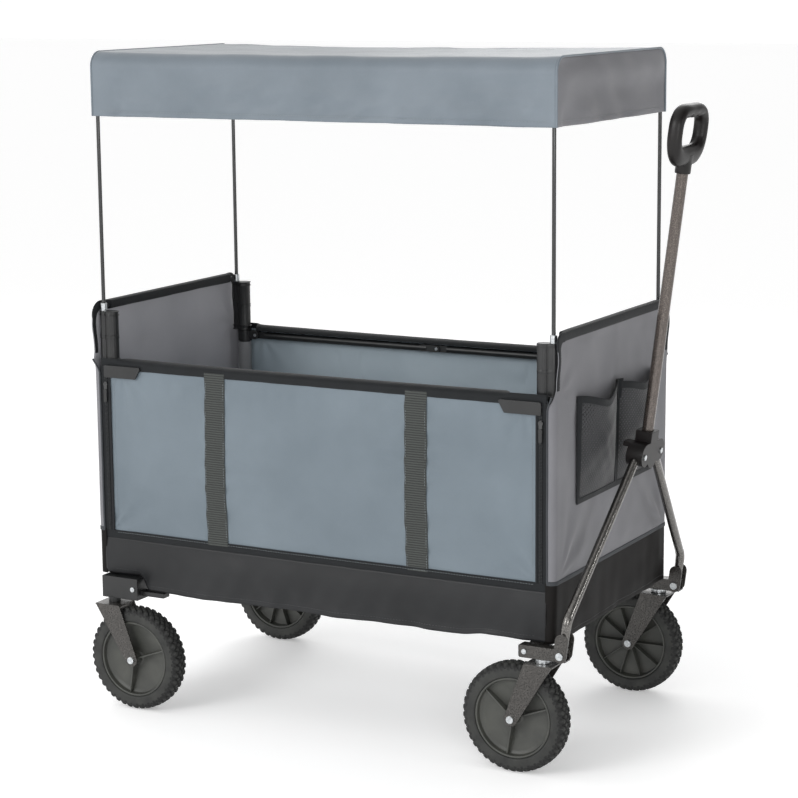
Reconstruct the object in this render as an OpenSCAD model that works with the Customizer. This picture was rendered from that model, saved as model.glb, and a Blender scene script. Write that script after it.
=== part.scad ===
// Folding kids pull wagon with four wheels, a tall pull handle and a lift-off canopy.
// Frame: +X towards the pull handle, +Y to the wagon's left, +Z up, millimetres.
// The origin is on the ground, in the middle of the whole wagon's box.
// The two end frames stay upright. The floor folds up and the side rails fold down
// between them, each as two equal halves, so the front frame slides to the rear one.

/* [Body] */
// Distance between the front and rear corner posts, centre to centre
post_span = 864; // [700:2:1000]
// Distance between the left and right corner posts, centre to centre
post_gap = 452; // [380:2:560]
// Height of the side wall's top edge above the floor hinge line
side_h = 410; // [330:5:480]
// Height of the end panel's top edge above the floor hinge line
end_h = 510; // [430:5:600]
// Height of the canopy's top above the floor hinge line
canopy_h = 962; // [820:5:1100]
// Drop of the canopy's side skirts
canopy_drop = 115; // [60:5:180]
// Height of the dark lower band of the tub, from the floor hinge line to its seam
band_h = 92; // [60:2:130]

/* [Tubes] */
// Outer diameter of the corner posts
post_d = 20; // [16:1:26]
// Wall of every frame tube
tube_wall = 1.5; // [1:0.1:2.5]
// Outer diameter of the lower cross tubes
cross_d = 18; // [14:1:24]
// Outer diameter of the floor frame tubes
floor_d = 16; // [12:1:20]
// Outer diameter of the folding side rails
rail_d = 14; // [11:1:18]
// Diameter of the canopy hoops
pole_d = 7; // [5:0.5:10]
// Radius of the bend at each top corner of a hoop
hoop_bend = 32; // [20:2:60]
// Distance from a post to the canopy hoop's leg beside it
pole_off = 17; // [15:1:24]
// Distance from a post to the fold hinges beside it
hinge_off = 27; // [25:1:34]

/* [Wheels] */
// Diameter of the tyres
wheel_d = 192; // [150:2:232]
// Width of the tyres
tyre_w = 38; // [28:1:46]
// Depth of the tyre, tread to rim
tyre_h = 26; // [18:1:30]
// Width across the inside of a fork
fork_gap = 45; // [40:1:54]
// Sheet thickness of the forks and brackets
sheet = 2.5; // [2:0.1:4]
// Height of a fork's top above the tyre in it
fork_rise = 4; // [3:1:30]
// Distance from a fork's top centre to its axle, along X
fork_trail = 50; // [30:1:60]
// Distance a wheel's middle stands outboard of the posts
wheel_out = 28; // [27:1:60]
// Diameter of the axle bolts
axle_d = 8; // [6:0.5:10]
// Diameter of the caster kingpins
king_d = 10; // [8:0.5:12]

/* [Handle] */
// Length of the handle from its hinge to the top of the grip
handle_l = 908; // [800:5:1000]
// Lean of the parked handle from upright
lean = 7.4; // [4:0.2:12]
// Diameter of the handle's upper tube
handle_d = 20; // [16:1:26]
// Diameter of the two yoke tubes
yoke_d = 16; // [12:1:19]
// Distance from the hinge to the middle of the joint block
block_s = 305; // [260:5:360]
// Width of the grip ring
grip_w = 120; // [100:2:150]
// Height of the grip ring
grip_h = 104; // [94:2:120]
// Depth of the grip ring
grip_t = 27; // [20:1:34]

/* [Cloth] */
// Thickness of the cloth walls
cloth = 2.5; // [2:0.1:4]
// Thickness of sewn-on bindings and webbing
trim = 1.5; // [1:0.1:2.5]
// Width of the webbing straps
strap_w = 42; // [30:1:52]
// Distance from the middle of the wagon to the middle of each strap
strap_x = 202; // [120:2:260]
// Width of the double pocket on each end
pocket_w = 330; // [240:5:370]
// Height of the pockets
pocket_h = 185; // [120:5:200]
// Depth of the pockets
pocket_d = 28; // [16:1:40]

/* [Fits] */
// Radial clearance of a pin or bolt in its bore
run = 0.05; // [0.02:0.01:0.1]
// Radial clearance at the open pivot, where the rails meet the front frame
open_run = 0.3; // [0.2:0.05:0.6]
// Side clearance between plates that swing past each other
side_run = 0.3; // [0.2:0.05:0.6]
// Gap between cloth pieces that lie on each other
lay = 0.5; // [0.3:0.1:1]

/* [Hidden] */
// outer cover plate of a rail bracket: length, height, thickness, middle behind the post, slant of its end
cover_l = 78;
cover_h = 22;
cover_t = 3.5;
cover_back = 34;
cover_slant = 11;

$fn = 48;
post_x = post_span / 2;
post_y = post_gap / 2;
pole_x = post_x + pole_off;
hinge_x = post_x - hinge_off;
axle_z = wheel_d / 2;
fork_z = wheel_d + fork_rise;
wheel_y = post_y + wheel_out;
// brackets under the front corners
bar_h = 21.5;
bar_w = 21.6;
swivel_gap = 7;
bar_z = fork_z + swivel_gap;
bar_x0 = post_x - 27;
bar_x1 = post_x + 57;
pivot_x = post_x + 48;
pivot_z = bar_z + bar_h / 2;
floor_z = bar_z + bar_h + 12.5;
front_king = post_x + 13;
rear_king = post_x - 7;
// heights of the walls
side_z = floor_z + side_h;
end_z = floor_z + end_h;
top_z = floor_z + canopy_h;
seam_z = floor_z + band_h;
rail_z = side_z - 20;
// planes of the cloth walls
wall_y = post_y + post_d / 2 + 5;
over_y = wall_y + cloth + lay;
end_x = pole_x + 10.5;
side_end = pole_x - 3;
// corner fittings
socket_z0 = rail_z + 10;
socket_z1 = end_z - 15;
socket_wall = 2.5;
lobe_r = pole_d / 2 + 4;
block_top = floor_z + 8;
block_x0 = post_x - 63;
block_out = wheel_y + 8;
// hinge plates
tongue_t = 5;
lug_t = 3;
lug_in = tongue_t / 2 + side_run;
lug_out = lug_in + lug_t;
pin_d = 6;
floor_y = post_y - post_d / 2 - floor_d / 2 - 3.5;
knuckle = floor_d / 2;
// a folded pair of tubes closes to 44 degrees, so each tube stops this far from the pin
tube_stop = 1.35 * floor_d;
board_t = 6;
board_y = post_y - post_d / 2 - 4;
// handle, in its own frame: the hinge at 0, its length along +Z
cheek = 2;
tongue_w = bar_w + 2 * side_run;
neck_s = handle_l - grip_h;
yoke_bend = 46;
yoke_top_y = 28;
yoke_top_s = block_s + 7;
// the yoke tube's bend: its centre, the angle it turns and where it ends, in Y and length
yoke_bend_r = 30;
yoke_c = [wheel_y - yoke_bend_r, yoke_bend];
yoke_end = touch([yoke_top_y, yoke_top_s], yoke_c, yoke_bend_r, -1);
yoke_a = atan2(yoke_end.y - yoke_c.y, yoke_end.x - yoke_c.x);
rivet_y = 36;
rivet_s = yoke_top_s - (rivet_y - yoke_top_y) / tan(yoke_a);
block_t = 30;
// the origin sits under the middle of the whole box
x_front = pivot_x + handle_l * sin(lean) + grip_t / 2 * cos(lean);
x_back = end_x + cloth + pocket_d;
x_shift = (x_back - x_front) / 2;

// ---------- helpers ----------

module seat() translate([x_shift, 0, 0]) children();

// both sides, left then right
module pair() for (s = [1, -1]) scale([1, s, 1]) children();

// mirrors a piece of the front end to the rear end
module at_end(e) mirror([e < 0 ? 1 : 0, 0, 0]) children();

// an outline in X and Z, thickened from y0 to y1
module slab(y0, y1) translate([0, y1, 0]) rotate([90, 0, 0]) linear_extrude(height = y1 - y0) children();

// a solid rod along Y
module rod_y(x, z, d, y0, y1) translate([x, y0, z]) rotate([-90, 0, 0]) cylinder(d = d, h = y1 - y0);

// a box from its lowest to its highest corner
module block(lo, hi) translate(lo) cube(hi - lo);

// a solid rod between two points
module rod(p, q, d) {
    v = q - p;
    translate(p)
        rotate([0, acos(v.z / norm(v)), atan2(v.y, v.x)])
            cylinder(d = d, h = norm(v));
}

// a straight tube between two points
module pipe(p, q, d) difference() {
    rod(p, q, d);
    u = (q - p) / norm(q - p);
    rod(p - u, q + u, d - 2 * tube_wall);
}

// a flat link outline with round ends of radius r
module link(p, q, r) {
    translate(p) circle(r);
    translate(q) circle(r);
    v = q - p;
    translate(p) rotate(atan2(v.y, v.x)) translate([0, -r]) square([norm(v), 2 * r]);
}

// a rectangle with round corners
module round_rect(w, h, r) {
    translate([-w / 2 + r, -h / 2]) square([w - 2 * r, h]);
    translate([-w / 2, -h / 2 + r]) square([w, h - 2 * r]);
    for (i = [-1, 1], j = [-1, 1])
        translate([i * (w / 2 - r), j * (h / 2 - r)]) circle(r);
}

// where a line from p touches a circle of radius r about c, on side k
function touch(p, c, r, k) =
    let (v = p - c, d = norm(v), a = atan2(v.y, v.x) + k * acos(r / d))
    c + r * [cos(a), sin(a)];

// ---------- end frames ----------

module post(z0) pipe([post_x, post_y, z0], [post_x, post_y, socket_z1 - 10], post_d);

// lower cross tube with the two pairs of floor hinge lugs welded to it
module cross_tube() difference() {
    union() {
        rod([post_x, -post_y, floor_z], [post_x, post_y, floor_z], cross_d);
        pair() for (k = [-1, 1]) {
            a = floor_y + k * (lug_in + lug_out) / 2;
            slab(a - lug_t / 2, a + lug_t / 2) link([hinge_x, floor_z], [post_x, floor_z], knuckle);
        }
    }
    rod_y(post_x, floor_z, cross_d - 2 * tube_wall, -post_y - 1, post_y + 1);
    pair() rod_y(hinge_x, floor_z, pin_d + 2 * run, floor_y - 10, floor_y + 10);
    pair() translate([post_x, post_y, floor_z - 50]) cylinder(d = post_d + 2 * run, h = 100);
}

module top_rod() rod([end_x - 5, -(post_y - 12), end_z - 8], [end_x - 5, post_y - 12, end_z - 8], 8);

// plastic corner socket: one lobe caps the post, the other takes the hoop's leg
module socket() difference() {
    union() {
        translate([post_x, post_y, socket_z0]) cylinder(d = post_d + 2 * socket_wall, h = socket_z1 - socket_z0);
        translate([pole_x, post_y, socket_z0]) cylinder(r = lobe_r, h = socket_z1 - socket_z0);
        block([post_x, post_y - lobe_r, socket_z0], [pole_x, post_y + lobe_r, socket_z1]);
    }
    translate([post_x, post_y, socket_z0 - 1]) cylinder(d = post_d + 2 * run, h = socket_z1 - socket_z0 - 8);
    translate([pole_x, post_y, socket_z0 + 10]) cylinder(d = pole_d + 2 * run, h = socket_z1 - socket_z0);
}

// collar on the post with two ears for the rail's pin, and the outer cover plate
module rail_bracket() {
    difference() {
        union() {
            translate([post_x, post_y, rail_z - 12]) cylinder(d = post_d + 7, h = 21);
            for (k = [-1, 1]) {
                a = post_y + k * (lug_in + lug_out) / 2;
                slab(a - lug_t / 2, a + lug_t / 2) link([hinge_x, rail_z], [post_x, rail_z], knuckle);
            }
        }
        translate([post_x, post_y, rail_z - 20]) cylinder(d = post_d + 2 * run, h = 40);
        rod_y(hinge_x, rail_z, pin_d + 2 * run, post_y - 20, post_y + 20);
    }
    slab(over_y + trim + lay, over_y + trim + lay + cover_t) translate([post_x - cover_back, rail_z - 2])
        difference() {
            round_rect(cover_l, cover_h, 3);
            // the end away from the post slants in towards the foot
            polygon([
                [-cover_l / 2 - 1, -cover_h / 2 - 1], [cover_slant - cover_l / 2, -cover_h / 2 - 1],
                [-cover_l / 2 - 1, cover_h / 2 - 2]
            ]);
        }
}

// the end panel wraps a short way round both corners
module end_wrap(z0, z1) difference() {
    block([side_end + lay, -over_y - cloth, z0], [end_x + cloth, over_y + cloth, z1]);
    block([side_end - 1, -over_y, z0 - 1], [end_x, over_y, z1 + 1]);
}

// double pocket, open at the top, with a wall between its two halves
module pockets() difference() {
    z0 = end_z - 298;
    x0 = end_x + cloth + lay;
    block([x0, -pocket_w / 2, z0], [x0 + pocket_d - lay, pocket_w / 2, z0 + pocket_h]);
    for (k = [-1, 1])
        block([x0 - 1, k > 0 ? cloth / 2 : cloth - pocket_w / 2, z0 + cloth],
              [x0 + pocket_d - lay - cloth, k > 0 ? pocket_w / 2 - cloth : -cloth / 2, z0 + pocket_h + 1]);
}

// zip strip beside each corner
module corner_zip() block([side_end - 21, over_y, seam_z + 1], [side_end, over_y + trim, rail_z - 16]);

// ---------- forks and wheels ----------

// one bent sheet: a top plate and two arms that taper to the axle
module fork(king_x, axle_x) difference() {
    half = 26;
    end_r = 12;
    c = [axle_x, axle_z];
    l = [king_x - half, fork_z];
    r = [king_x + half, fork_z];
    union() {
        for (k = [-1, 1]) {
            y = wheel_y + k * (fork_gap + sheet) / 2;
            slab(y - sheet / 2, y + sheet / 2) {
                polygon([l, r, touch(r, c, end_r, -1), touch(l, c, end_r, 1)]);
                translate(c) circle(end_r);
            }
        }
        block([king_x - half, wheel_y - fork_gap / 2 - sheet, fork_z - sheet],
              [king_x + half, wheel_y + fork_gap / 2 + sheet, fork_z]);
    }
    rod_y(axle_x, axle_z, axle_d + 2 * run, 0, 2 * wheel_y);
    translate([king_x, wheel_y, fork_z - 20]) cylinder(d = king_d + 2 * run, h = 40);
}

// axle bolt with a round head and nut outside the arms
module axle(x) {
    out = fork_gap / 2 + sheet;
    rod_y(x, axle_z, axle_d, wheel_y - out - 3, wheel_y + out + 3);
    rod_y(x, axle_z, 13, wheel_y + out, wheel_y + out + 3.5);
    rod_y(x, axle_z, 13, wheel_y - out - 3.5, wheel_y - out);
}

// a ring about the wheel's own axis, placed at the axle
module spun(x) translate([x, wheel_y, axle_z]) rotate([90, 0, 0]) rotate_extrude($fn = 96) children();

module tyre(x) spun(x) {
    r0 = wheel_d / 2 - tyre_h;
    bulge = 6;
    square_w = tyre_w - 2 * bulge;
    translate([r0, -tyre_w / 2 + 2]) square([tyre_h - bulge, tyre_w - 4]);
    translate([r0 + 3, -tyre_w / 2]) square([tyre_h - bulge - 3, tyre_w]);
    translate([r0 + 3, -square_w / 2]) square([tyre_h - 3, square_w]);
    for (k = [-1, 1]) translate([wheel_d / 2 - bulge, k * square_w / 2]) circle(bulge);
}

module hub(x) {
    rim_r = wheel_d / 2 - tyre_h - run;
    rim_w = tyre_w - 4;
    boss = fork_gap - 2;
    difference() {
        union() {
            spun(x) {
                translate([rim_r - 4, -rim_w / 2]) square([4, rim_w]);
                translate([axle_d / 2 + 1, -2]) square([rim_r - axle_d / 2 - 3, 4]);
                translate([axle_d / 2 + run, -boss / 2]) square([9 - run, boss]);
            }
            for (i = [0:2])
                translate([x, wheel_y, axle_z]) rotate([0, 120 * i + 20, 0])
                    block([12, 0, -1.5], [rim_r - 2, rim_w / 2 - 3, 1.5]);
            for (i = [0:9])
                translate([x, wheel_y, axle_z]) rotate([0, 36 * i, 0])
                    block([12, -rim_w / 2 + 3, -1], [rim_r - 2, 0, 1]);
        }
        rod_y(x, axle_z, axle_d + 2 * run, 0, 2 * wheel_y);
    }
}

// ---------- folding floor and rails ----------

// a hinge end at pivot x, reaching to the tube that starts tube_stop away along d
module tongue(x, d, y, z) slab(y - tongue_t / 2, y + tongue_t / 2)
    link([x, z], [x + d * (tube_stop + 10), z], knuckle - 1.5);

module clevis(x, d, y, z) for (k = [-1, 1]) {
    a = y + k * (lug_in + lug_out) / 2;
    slab(a - lug_t / 2, a + lug_t / 2) link([x, z], [x + d * (tube_stop + 10), z], knuckle - 1.5);
}

// half of the floor frame, reaching from the middle hinge towards +X
module floor_frame(is_rear) difference() {
    x0 = tube_stop;
    x1 = hinge_x - tube_stop;
    union() {
        pair() {
            pipe([x0, floor_y, floor_z], [x1, floor_y, floor_z], floor_d);
            tongue(hinge_x, -1, floor_y, floor_z);
            if (is_rear) clevis(0, 1, floor_y, floor_z);
            else tongue(0, 1, floor_y, floor_z);
        }
        for (x = [60, hinge_x - 55])
            rod([x, -floor_y, floor_z], [x, floor_y, floor_z], 12);
    }
    pair() rod_y(hinge_x, floor_z, pin_d + 2 * run, floor_y - 20, floor_y + 20);
    pair() rod_y(0, floor_z, pin_d + 2 * run, floor_y - 20, floor_y + 20);
}

module floor_board() block([6, -board_y, floor_z + floor_d / 2], [hinge_x - 12, board_y, floor_z + floor_d / 2 + board_t]);

// half of the side rails, reaching from the middle hinge towards +X
module rails(is_rear) pair() difference() {
    union() {
        pipe([tube_stop, post_y, rail_z], [hinge_x - tube_stop, post_y, rail_z], rail_d);
        tongue(hinge_x, -1, post_y, rail_z);
        if (is_rear) clevis(0, 1, post_y, rail_z);
        else tongue(0, 1, post_y, rail_z);
    }
    rod_y(hinge_x, rail_z, pin_d + 2 * (is_rear ? run : open_run), post_y - 20, post_y + 20);
    rod_y(0, rail_z, pin_d + 2 * run, post_y - 20, post_y + 20);
}

// a plain pin through a hinge at x, z and about y
module hinge_pin(x, y, z) rod_y(x, z, pin_d, y - lug_out - 1.5, y + lug_out + 1.5);

// ---------- handle, in its own frame ----------

module on_handle() translate([pivot_x, 0, pivot_z]) rotate([0, lean, 0]) children();

// the slanted leg of a yoke tube
module yoke_leg(d) rod([0, yoke_end.x, yoke_end.y], [0, yoke_top_y, yoke_top_s], d);

// lobed outline of the joint block, across Y and along the handle
module block_outline() {
    for (k = [-1, 1]) translate([k * 30, block_s]) circle(20);
    translate([0, block_s - 6]) circle(21);
    translate([-30, block_s - 6]) square([60, 26]);
    translate([-16, block_s]) square([32, 38]);
}

module grip_outline() {
    r = grip_h * 0.33;
    for (k = [-1, 1]) translate([k * (grip_w / 2 - r), handle_l - r]) circle(r);
    translate([-grip_w / 2 + r, handle_l - 2 * r]) square([grip_w - 2 * r, 2 * r]);
    polygon([
        [-grip_w / 2 + 4, handle_l - r - 12], [grip_w / 2 - 4, handle_l - r - 12],
        [20, neck_s + 8], [-20, neck_s + 8]
    ]);
}

// ---------- canopy ----------

// upside-down U of round bar, standing in the two sockets of one end
module hoop() {
    z1 = top_z - cloth - pole_d / 2 - lay;
    leg_z0 = socket_z0 + 12;
    pair() {
        rod([pole_x, post_y, leg_z0], [pole_x, post_y, z1 - hoop_bend], pole_d);
        translate([pole_x, post_y - hoop_bend, z1 - hoop_bend]) rotate([90, 0, 90])
            rotate_extrude(angle = 90) translate([hoop_bend, 0]) circle(d = pole_d);
    }
    rod([pole_x, -(post_y - hoop_bend), z1], [pole_x, post_y - hoop_bend, z1], pole_d);
}

module ferrule() translate([pole_x, post_y, socket_z1]) difference() {
    cylinder(d = pole_d + 5, h = 14);
    translate([0, 0, -1]) cylinder(d = pole_d + 2 * run, h = 16);
}

// ---------- sub-parts: rear frame ----------

module rear_posts() color("#2e3133") seat() at_end(-1) pair() post(fork_z + 13);

module rear_cross_tube() color("#2e3133") seat() at_end(-1) cross_tube();

module rear_top_rod() color("#2e3133") seat() at_end(-1) top_rod();

module rear_sockets() color("#1c1e20") seat() at_end(-1) pair() socket();

// plastic shoe that joins post, cross tube and rear fork
module rear_corner_blocks() color("#1c1e20") seat() at_end(-1) pair() difference() {
    union() {
        block([block_x0, board_y + 1, fork_z + 9], [post_x + 14, block_out, block_top]);
        block([block_x0 - 49, over_y - 14, fork_z + 16], [block_x0 + 3, over_y + 5, fork_z + 24]);
        translate([rear_king, wheel_y, fork_z]) cylinder(d = 22, h = 10);
    }
    translate([post_x, post_y, fork_z + 13]) cylinder(d = post_d + 2 * run, h = 60);
    rod_y(post_x, floor_z, cross_d + 2 * run, 0, post_y);
    rod_y(post_x - 53, floor_z - 12, 5 + 2 * run, wheel_y - 22, wheel_y + 20);
    translate([rear_king, wheel_y, fork_z - 1]) cylinder(d = king_d + 2 * run, h = 24);
}

module rear_forks() color("#3f3f41") seat() at_end(-1) pair() fork(rear_king, rear_king - fork_trail);

module rear_axles() color("#c9cccd") seat() at_end(-1) pair() axle(rear_king - fork_trail);

module rear_end_panel() color("#707074") seat() at_end(-1) end_wrap(seam_z + lay, end_z);

module rear_pockets() color("#2c2d2f") seat() at_end(-1) pockets();

module rear_skirt() color("#333335") seat() at_end(-1) end_wrap(block_top + lay, seam_z);

module rear_rail_brackets() color("#1c1e20") seat() at_end(-1) pair() rail_bracket();

module rear_fasteners() color("#b9bcbe") seat() at_end(-1) pair() {
    hinge_pin(hinge_x, floor_y, floor_z);
    hinge_pin(hinge_x, post_y, rail_z);
    rod_y(post_x - 53, floor_z - 12, 5, wheel_y - 20, block_out + 1);
    rod_y(post_x - 53, floor_z - 12, 9, block_out, block_out + 2);
    translate([rear_king, wheel_y, fork_z - sheet - 3]) cylinder(d = king_d, h = sheet + 18);
    translate([rear_king, wheel_y, fork_z - sheet - 3]) cylinder(d = 17, h = 3);
}

module rear_corner_zips() color("#1f2123") seat() at_end(-1) pair() corner_zip();

// ---------- sub-parts: cloth between the end frames ----------

module side_panels() color("#7f8c93") seat() pair()
    block([-side_end, wall_y, seam_z - 16], [side_end, wall_y + cloth, side_z]);

module side_skirts() color("#333335") seat() pair() difference() {
    block([-side_end, over_y, floor_z - 15], [side_end, over_y + cloth, seam_z - 16 - lay]);
    block([-side_end - 1, over_y - 1, floor_z - 16], [-block_x0 + 3, over_y + 10, block_top + lay]);
    block([bar_x0 - 3, over_y - 1, floor_z - 16], [side_end + 1, over_y + 10, bar_z + bar_h + 1]);
}

module panel_bindings() color("#26292b") seat() pair() {
    block([-side_end, over_y, seam_z - 16], [side_end, over_y + trim, seam_z]);
    block([-side_end, over_y, side_z - 18], [side_end, over_y + trim, side_z + 1]);
}

module side_straps() color("#55595a") seat() pair() for (k = [-1, 1])
    block([k * strap_x - strap_w / 2, over_y, seam_z + lay], [k * strap_x + strap_w / 2, over_y + trim, side_z - 18 - lay]);

// ---------- sub-parts: folding floor and side rails ----------

module floor_frame_rear() color("#2e3133") seat() at_end(-1) floor_frame(true);

module floor_board_rear() color("#4a4c4f") seat() at_end(-1) floor_board();

module floor_hinge_pins() color("#b9bcbe") seat() pair() hinge_pin(0, floor_y, floor_z);

module floor_frame_front() color("#2e3133") seat() floor_frame(false);

module floor_board_front() color("#4a4c4f") seat() floor_board();

// webbing loop that pulls the middle of the floor up, lying flat on the board
module lift_strap() color("#26292b") seat() {
    z0 = floor_z + floor_d / 2 + board_t;
    block([12, -12, z0], [62, 12, z0 + 2 * trim]);
}

module rails_rear() color("#2e3133") seat() at_end(-1) rails(true);

module rails_front() color("#2e3133") seat() rails(false);

module rail_hinge_pins() color("#b9bcbe") seat() pair() hinge_pin(0, post_y, rail_z);

// ---------- sub-parts: front frame ----------

module front_posts() color("#2e3133") seat() pair() post(bar_z + bar_h);

module front_cross_tube() color("#2e3133") seat() cross_tube();

module front_top_rod() color("#2e3133") seat() top_rod();

module front_sockets() color("#1c1e20") seat() pair() socket();

// box channel along X over the caster, with a foot plate under the post
module front_brackets() color("#3f3f41") seat() pair() difference() {
    union() {
        block([bar_x0, wheel_y - bar_w / 2, bar_z], [bar_x1, wheel_y + bar_w / 2, bar_z + bar_h]);
        block([bar_x0 + 8, board_y, bar_z + bar_h - sheet], [bar_x0 + 47, wheel_y, bar_z + bar_h]);
    }
    block([bar_x0 - 1, wheel_y - bar_w / 2 + sheet, bar_z + sheet],
          [bar_x1 + 1, wheel_y + bar_w / 2 - sheet, bar_z + bar_h - sheet]);
    rod_y(pivot_x, pivot_z, axle_d + 2 * run, wheel_y - 20, wheel_y + 20);
    rod_y(bar_x0 + 9, pivot_z, 5 + 2 * run, wheel_y - 20, wheel_y + 20);
    translate([front_king, wheel_y, bar_z - 1]) cylinder(d = king_d + 2 * run, h = sheet + 3);
}

module front_end_panel() color("#707074") seat() end_wrap(seam_z + lay, end_z);

module front_pockets() color("#2c2d2f") seat() pockets();

module front_skirt() color("#333335") seat() end_wrap(bar_z + bar_h + 1.5, seam_z);

module front_rail_brackets() color("#1c1e20") seat() pair() rail_bracket();

module front_fasteners() color("#b9bcbe") seat() pair() {
    out = bar_w / 2 + side_run + cheek + side_run;
    hinge_pin(hinge_x, floor_y, floor_z);
    hinge_pin(hinge_x, post_y, rail_z);
    rod_y(pivot_x, pivot_z, axle_d, wheel_y - out - 1, wheel_y + out + 1);
    for (k = [-1, 1]) rod_y(pivot_x, pivot_z, 13, wheel_y + k * (out + 1.25) - 1.25, wheel_y + k * (out + 1.25) + 1.25);
    rod_y(bar_x0 + 9, pivot_z, 5, wheel_y - bar_w / 2 - 1, wheel_y + bar_w / 2 + 1);
    rod_y(bar_x0 + 9, pivot_z, 9, wheel_y + bar_w / 2, wheel_y + bar_w / 2 + 2);
    translate([front_king, wheel_y, fork_z - sheet - 3.8]) cylinder(d = king_d, h = sheet + 3.8 + swivel_gap + sheet + 4);
    translate([front_king, wheel_y, fork_z - sheet - 3.8]) cylinder(d = 16, h = 3.5);
    translate([front_king, wheel_y, fork_z + 0.3]) cylinder(d = 28, h = swivel_gap - 0.3);
}

module front_corner_zips() color("#1f2123") seat() pair() corner_zip();

// ---------- sub-parts: casters and wheels ----------

module caster_fork_left() color("#3f3f41") seat() fork(front_king, front_king - fork_trail);

module caster_fork_right() color("#3f3f41") seat() mirror([0, 1, 0]) fork(front_king, front_king - fork_trail);

module caster_axle_left() color("#c9cccd") seat() axle(front_king - fork_trail);

module caster_axle_right() color("#c9cccd") seat() mirror([0, 1, 0]) axle(front_king - fork_trail);

module tyre_rear_left() color("#2c2d2c") seat() tyre(-rear_king + fork_trail);

module tyre_rear_right() color("#2c2d2c") seat() mirror([0, 1, 0]) tyre(-rear_king + fork_trail);

module tyre_front_left() color("#2c2d2c") seat() tyre(front_king - fork_trail);

module tyre_front_right() color("#2c2d2c") seat() mirror([0, 1, 0]) tyre(front_king - fork_trail);

module hub_rear_left() color("#565958") seat() hub(-rear_king + fork_trail);

module hub_rear_right() color("#565958") seat() mirror([0, 1, 0]) hub(-rear_king + fork_trail);

module hub_front_left() color("#565958") seat() hub(front_king - fork_trail);

module hub_front_right() color("#565958") seat() mirror([0, 1, 0]) hub(front_king - fork_trail);

// ---------- sub-parts: handle ----------

// sheet channel at the foot of each yoke tube, straddling the bracket
module yoke_ends() color("#3f3f41") seat() on_handle() pair() difference() {
    gap = tongue_w / 2;
    union() {
        for (k = [-1, 1]) {
            a = wheel_y + k * (gap + cheek / 2);
            slab(a - cheek / 2, a + cheek / 2) link([0, 0], [0, 26], 12);
        }
        block([-12, wheel_y - gap - cheek, 17], [-10, wheel_y + gap + cheek, 26]);
    }
    rod_y(0, 0, axle_d + 2 * run, wheel_y - 30, wheel_y + 30);
}

module yoke_tubes() color("#3f3f41") seat() on_handle() pair() difference() {
    union() {
        rod([0, wheel_y, 16], [0, wheel_y, yoke_bend], yoke_d);
        // the bend swells a little over the ends of both straight runs
        translate([0, yoke_c.x, yoke_bend]) rotate([90, 0, 90]) rotate(-4)
            rotate_extrude(angle = yoke_a + 8) translate([yoke_bend_r, 0]) circle(d = yoke_d + 0.6);
        yoke_leg(yoke_d);
    }
    translate([-20, rivet_y, rivet_s]) rotate([0, 90, 0]) cylinder(d = 6 + 2 * run, h = 40);
}

module handle_block() color("#2b2523") seat() on_handle() difference() {
    union() {
        translate([-block_t / 2, 0, 0]) rotate([90, 0, 90]) linear_extrude(height = block_t) block_outline();
        block([-block_t / 2 - 11, -40, block_s + 12], [-block_t / 2 + 1, -18, block_s + 20]);
    }
    pair() yoke_leg(yoke_d + 2 * run);
    translate([0, 0, block_s + 6]) cylinder(d = handle_d + 2 * run, h = 60);
    pair() translate([-20, rivet_y, rivet_s]) rotate([0, 90, 0]) cylinder(d = 6 + 2 * run, h = 40);
}

module handle_tube() color("#45403d") seat() on_handle() pipe([0, 0, block_s + 6], [0, 0, neck_s + 6], handle_d);

// closed D ring with a neck that caps the upper tube
module grip() color("#2b2523") seat() on_handle() difference() {
    union() {
        translate([-grip_t / 2, 0, 0]) rotate([90, 0, 90]) linear_extrude(height = grip_t) difference() {
            grip_outline();
            translate([0, handle_l - 46]) round_rect(grip_w - 34, 46, 18);
        }
        translate([0, 0, neck_s - 12]) cylinder(d = handle_d + 12, h = 26);
    }
    translate([0, 0, neck_s - 13]) cylinder(d = handle_d + 2 * run, h = 19);
}

module handle_rivets() color("#c9cccd") seat() on_handle() pair() translate([0, rivet_y, rivet_s]) rotate([0, 90, 0]) {
    translate([0, 0, -block_t / 2 - 1]) cylinder(d = 6, h = block_t + 2);
    translate([0, 0, block_t / 2]) cylinder(d = 10, h = 2);
    translate([0, 0, -block_t / 2 - 2]) cylinder(d = 10, h = 2);
}

// ---------- sub-parts: canopy ----------

module hoop_rear() color("#1d1f21") seat() at_end(-1) hoop();

module hoop_front() color("#1d1f21") seat() hoop();

module ferrules_rear() color("#c9cccd") seat() at_end(-1) pair() ferrule();

module ferrules_front() color("#c9cccd") seat() pair() ferrule();

// roof sheet with a skirt on all four sides, open below
module canopy_cover() color("#8c99a3") seat() difference() {
    x1 = pole_x + pole_d / 2 + 1;
    y1 = post_y + pole_d / 2 + 1;
    z0 = top_z - canopy_drop;
    block([-x1 - cloth, -y1 - cloth, z0], [x1 + cloth, y1 + cloth, top_z]);
    block([-x1, -y1, z0 - 1], [x1, y1, top_z - cloth]);
}

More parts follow.
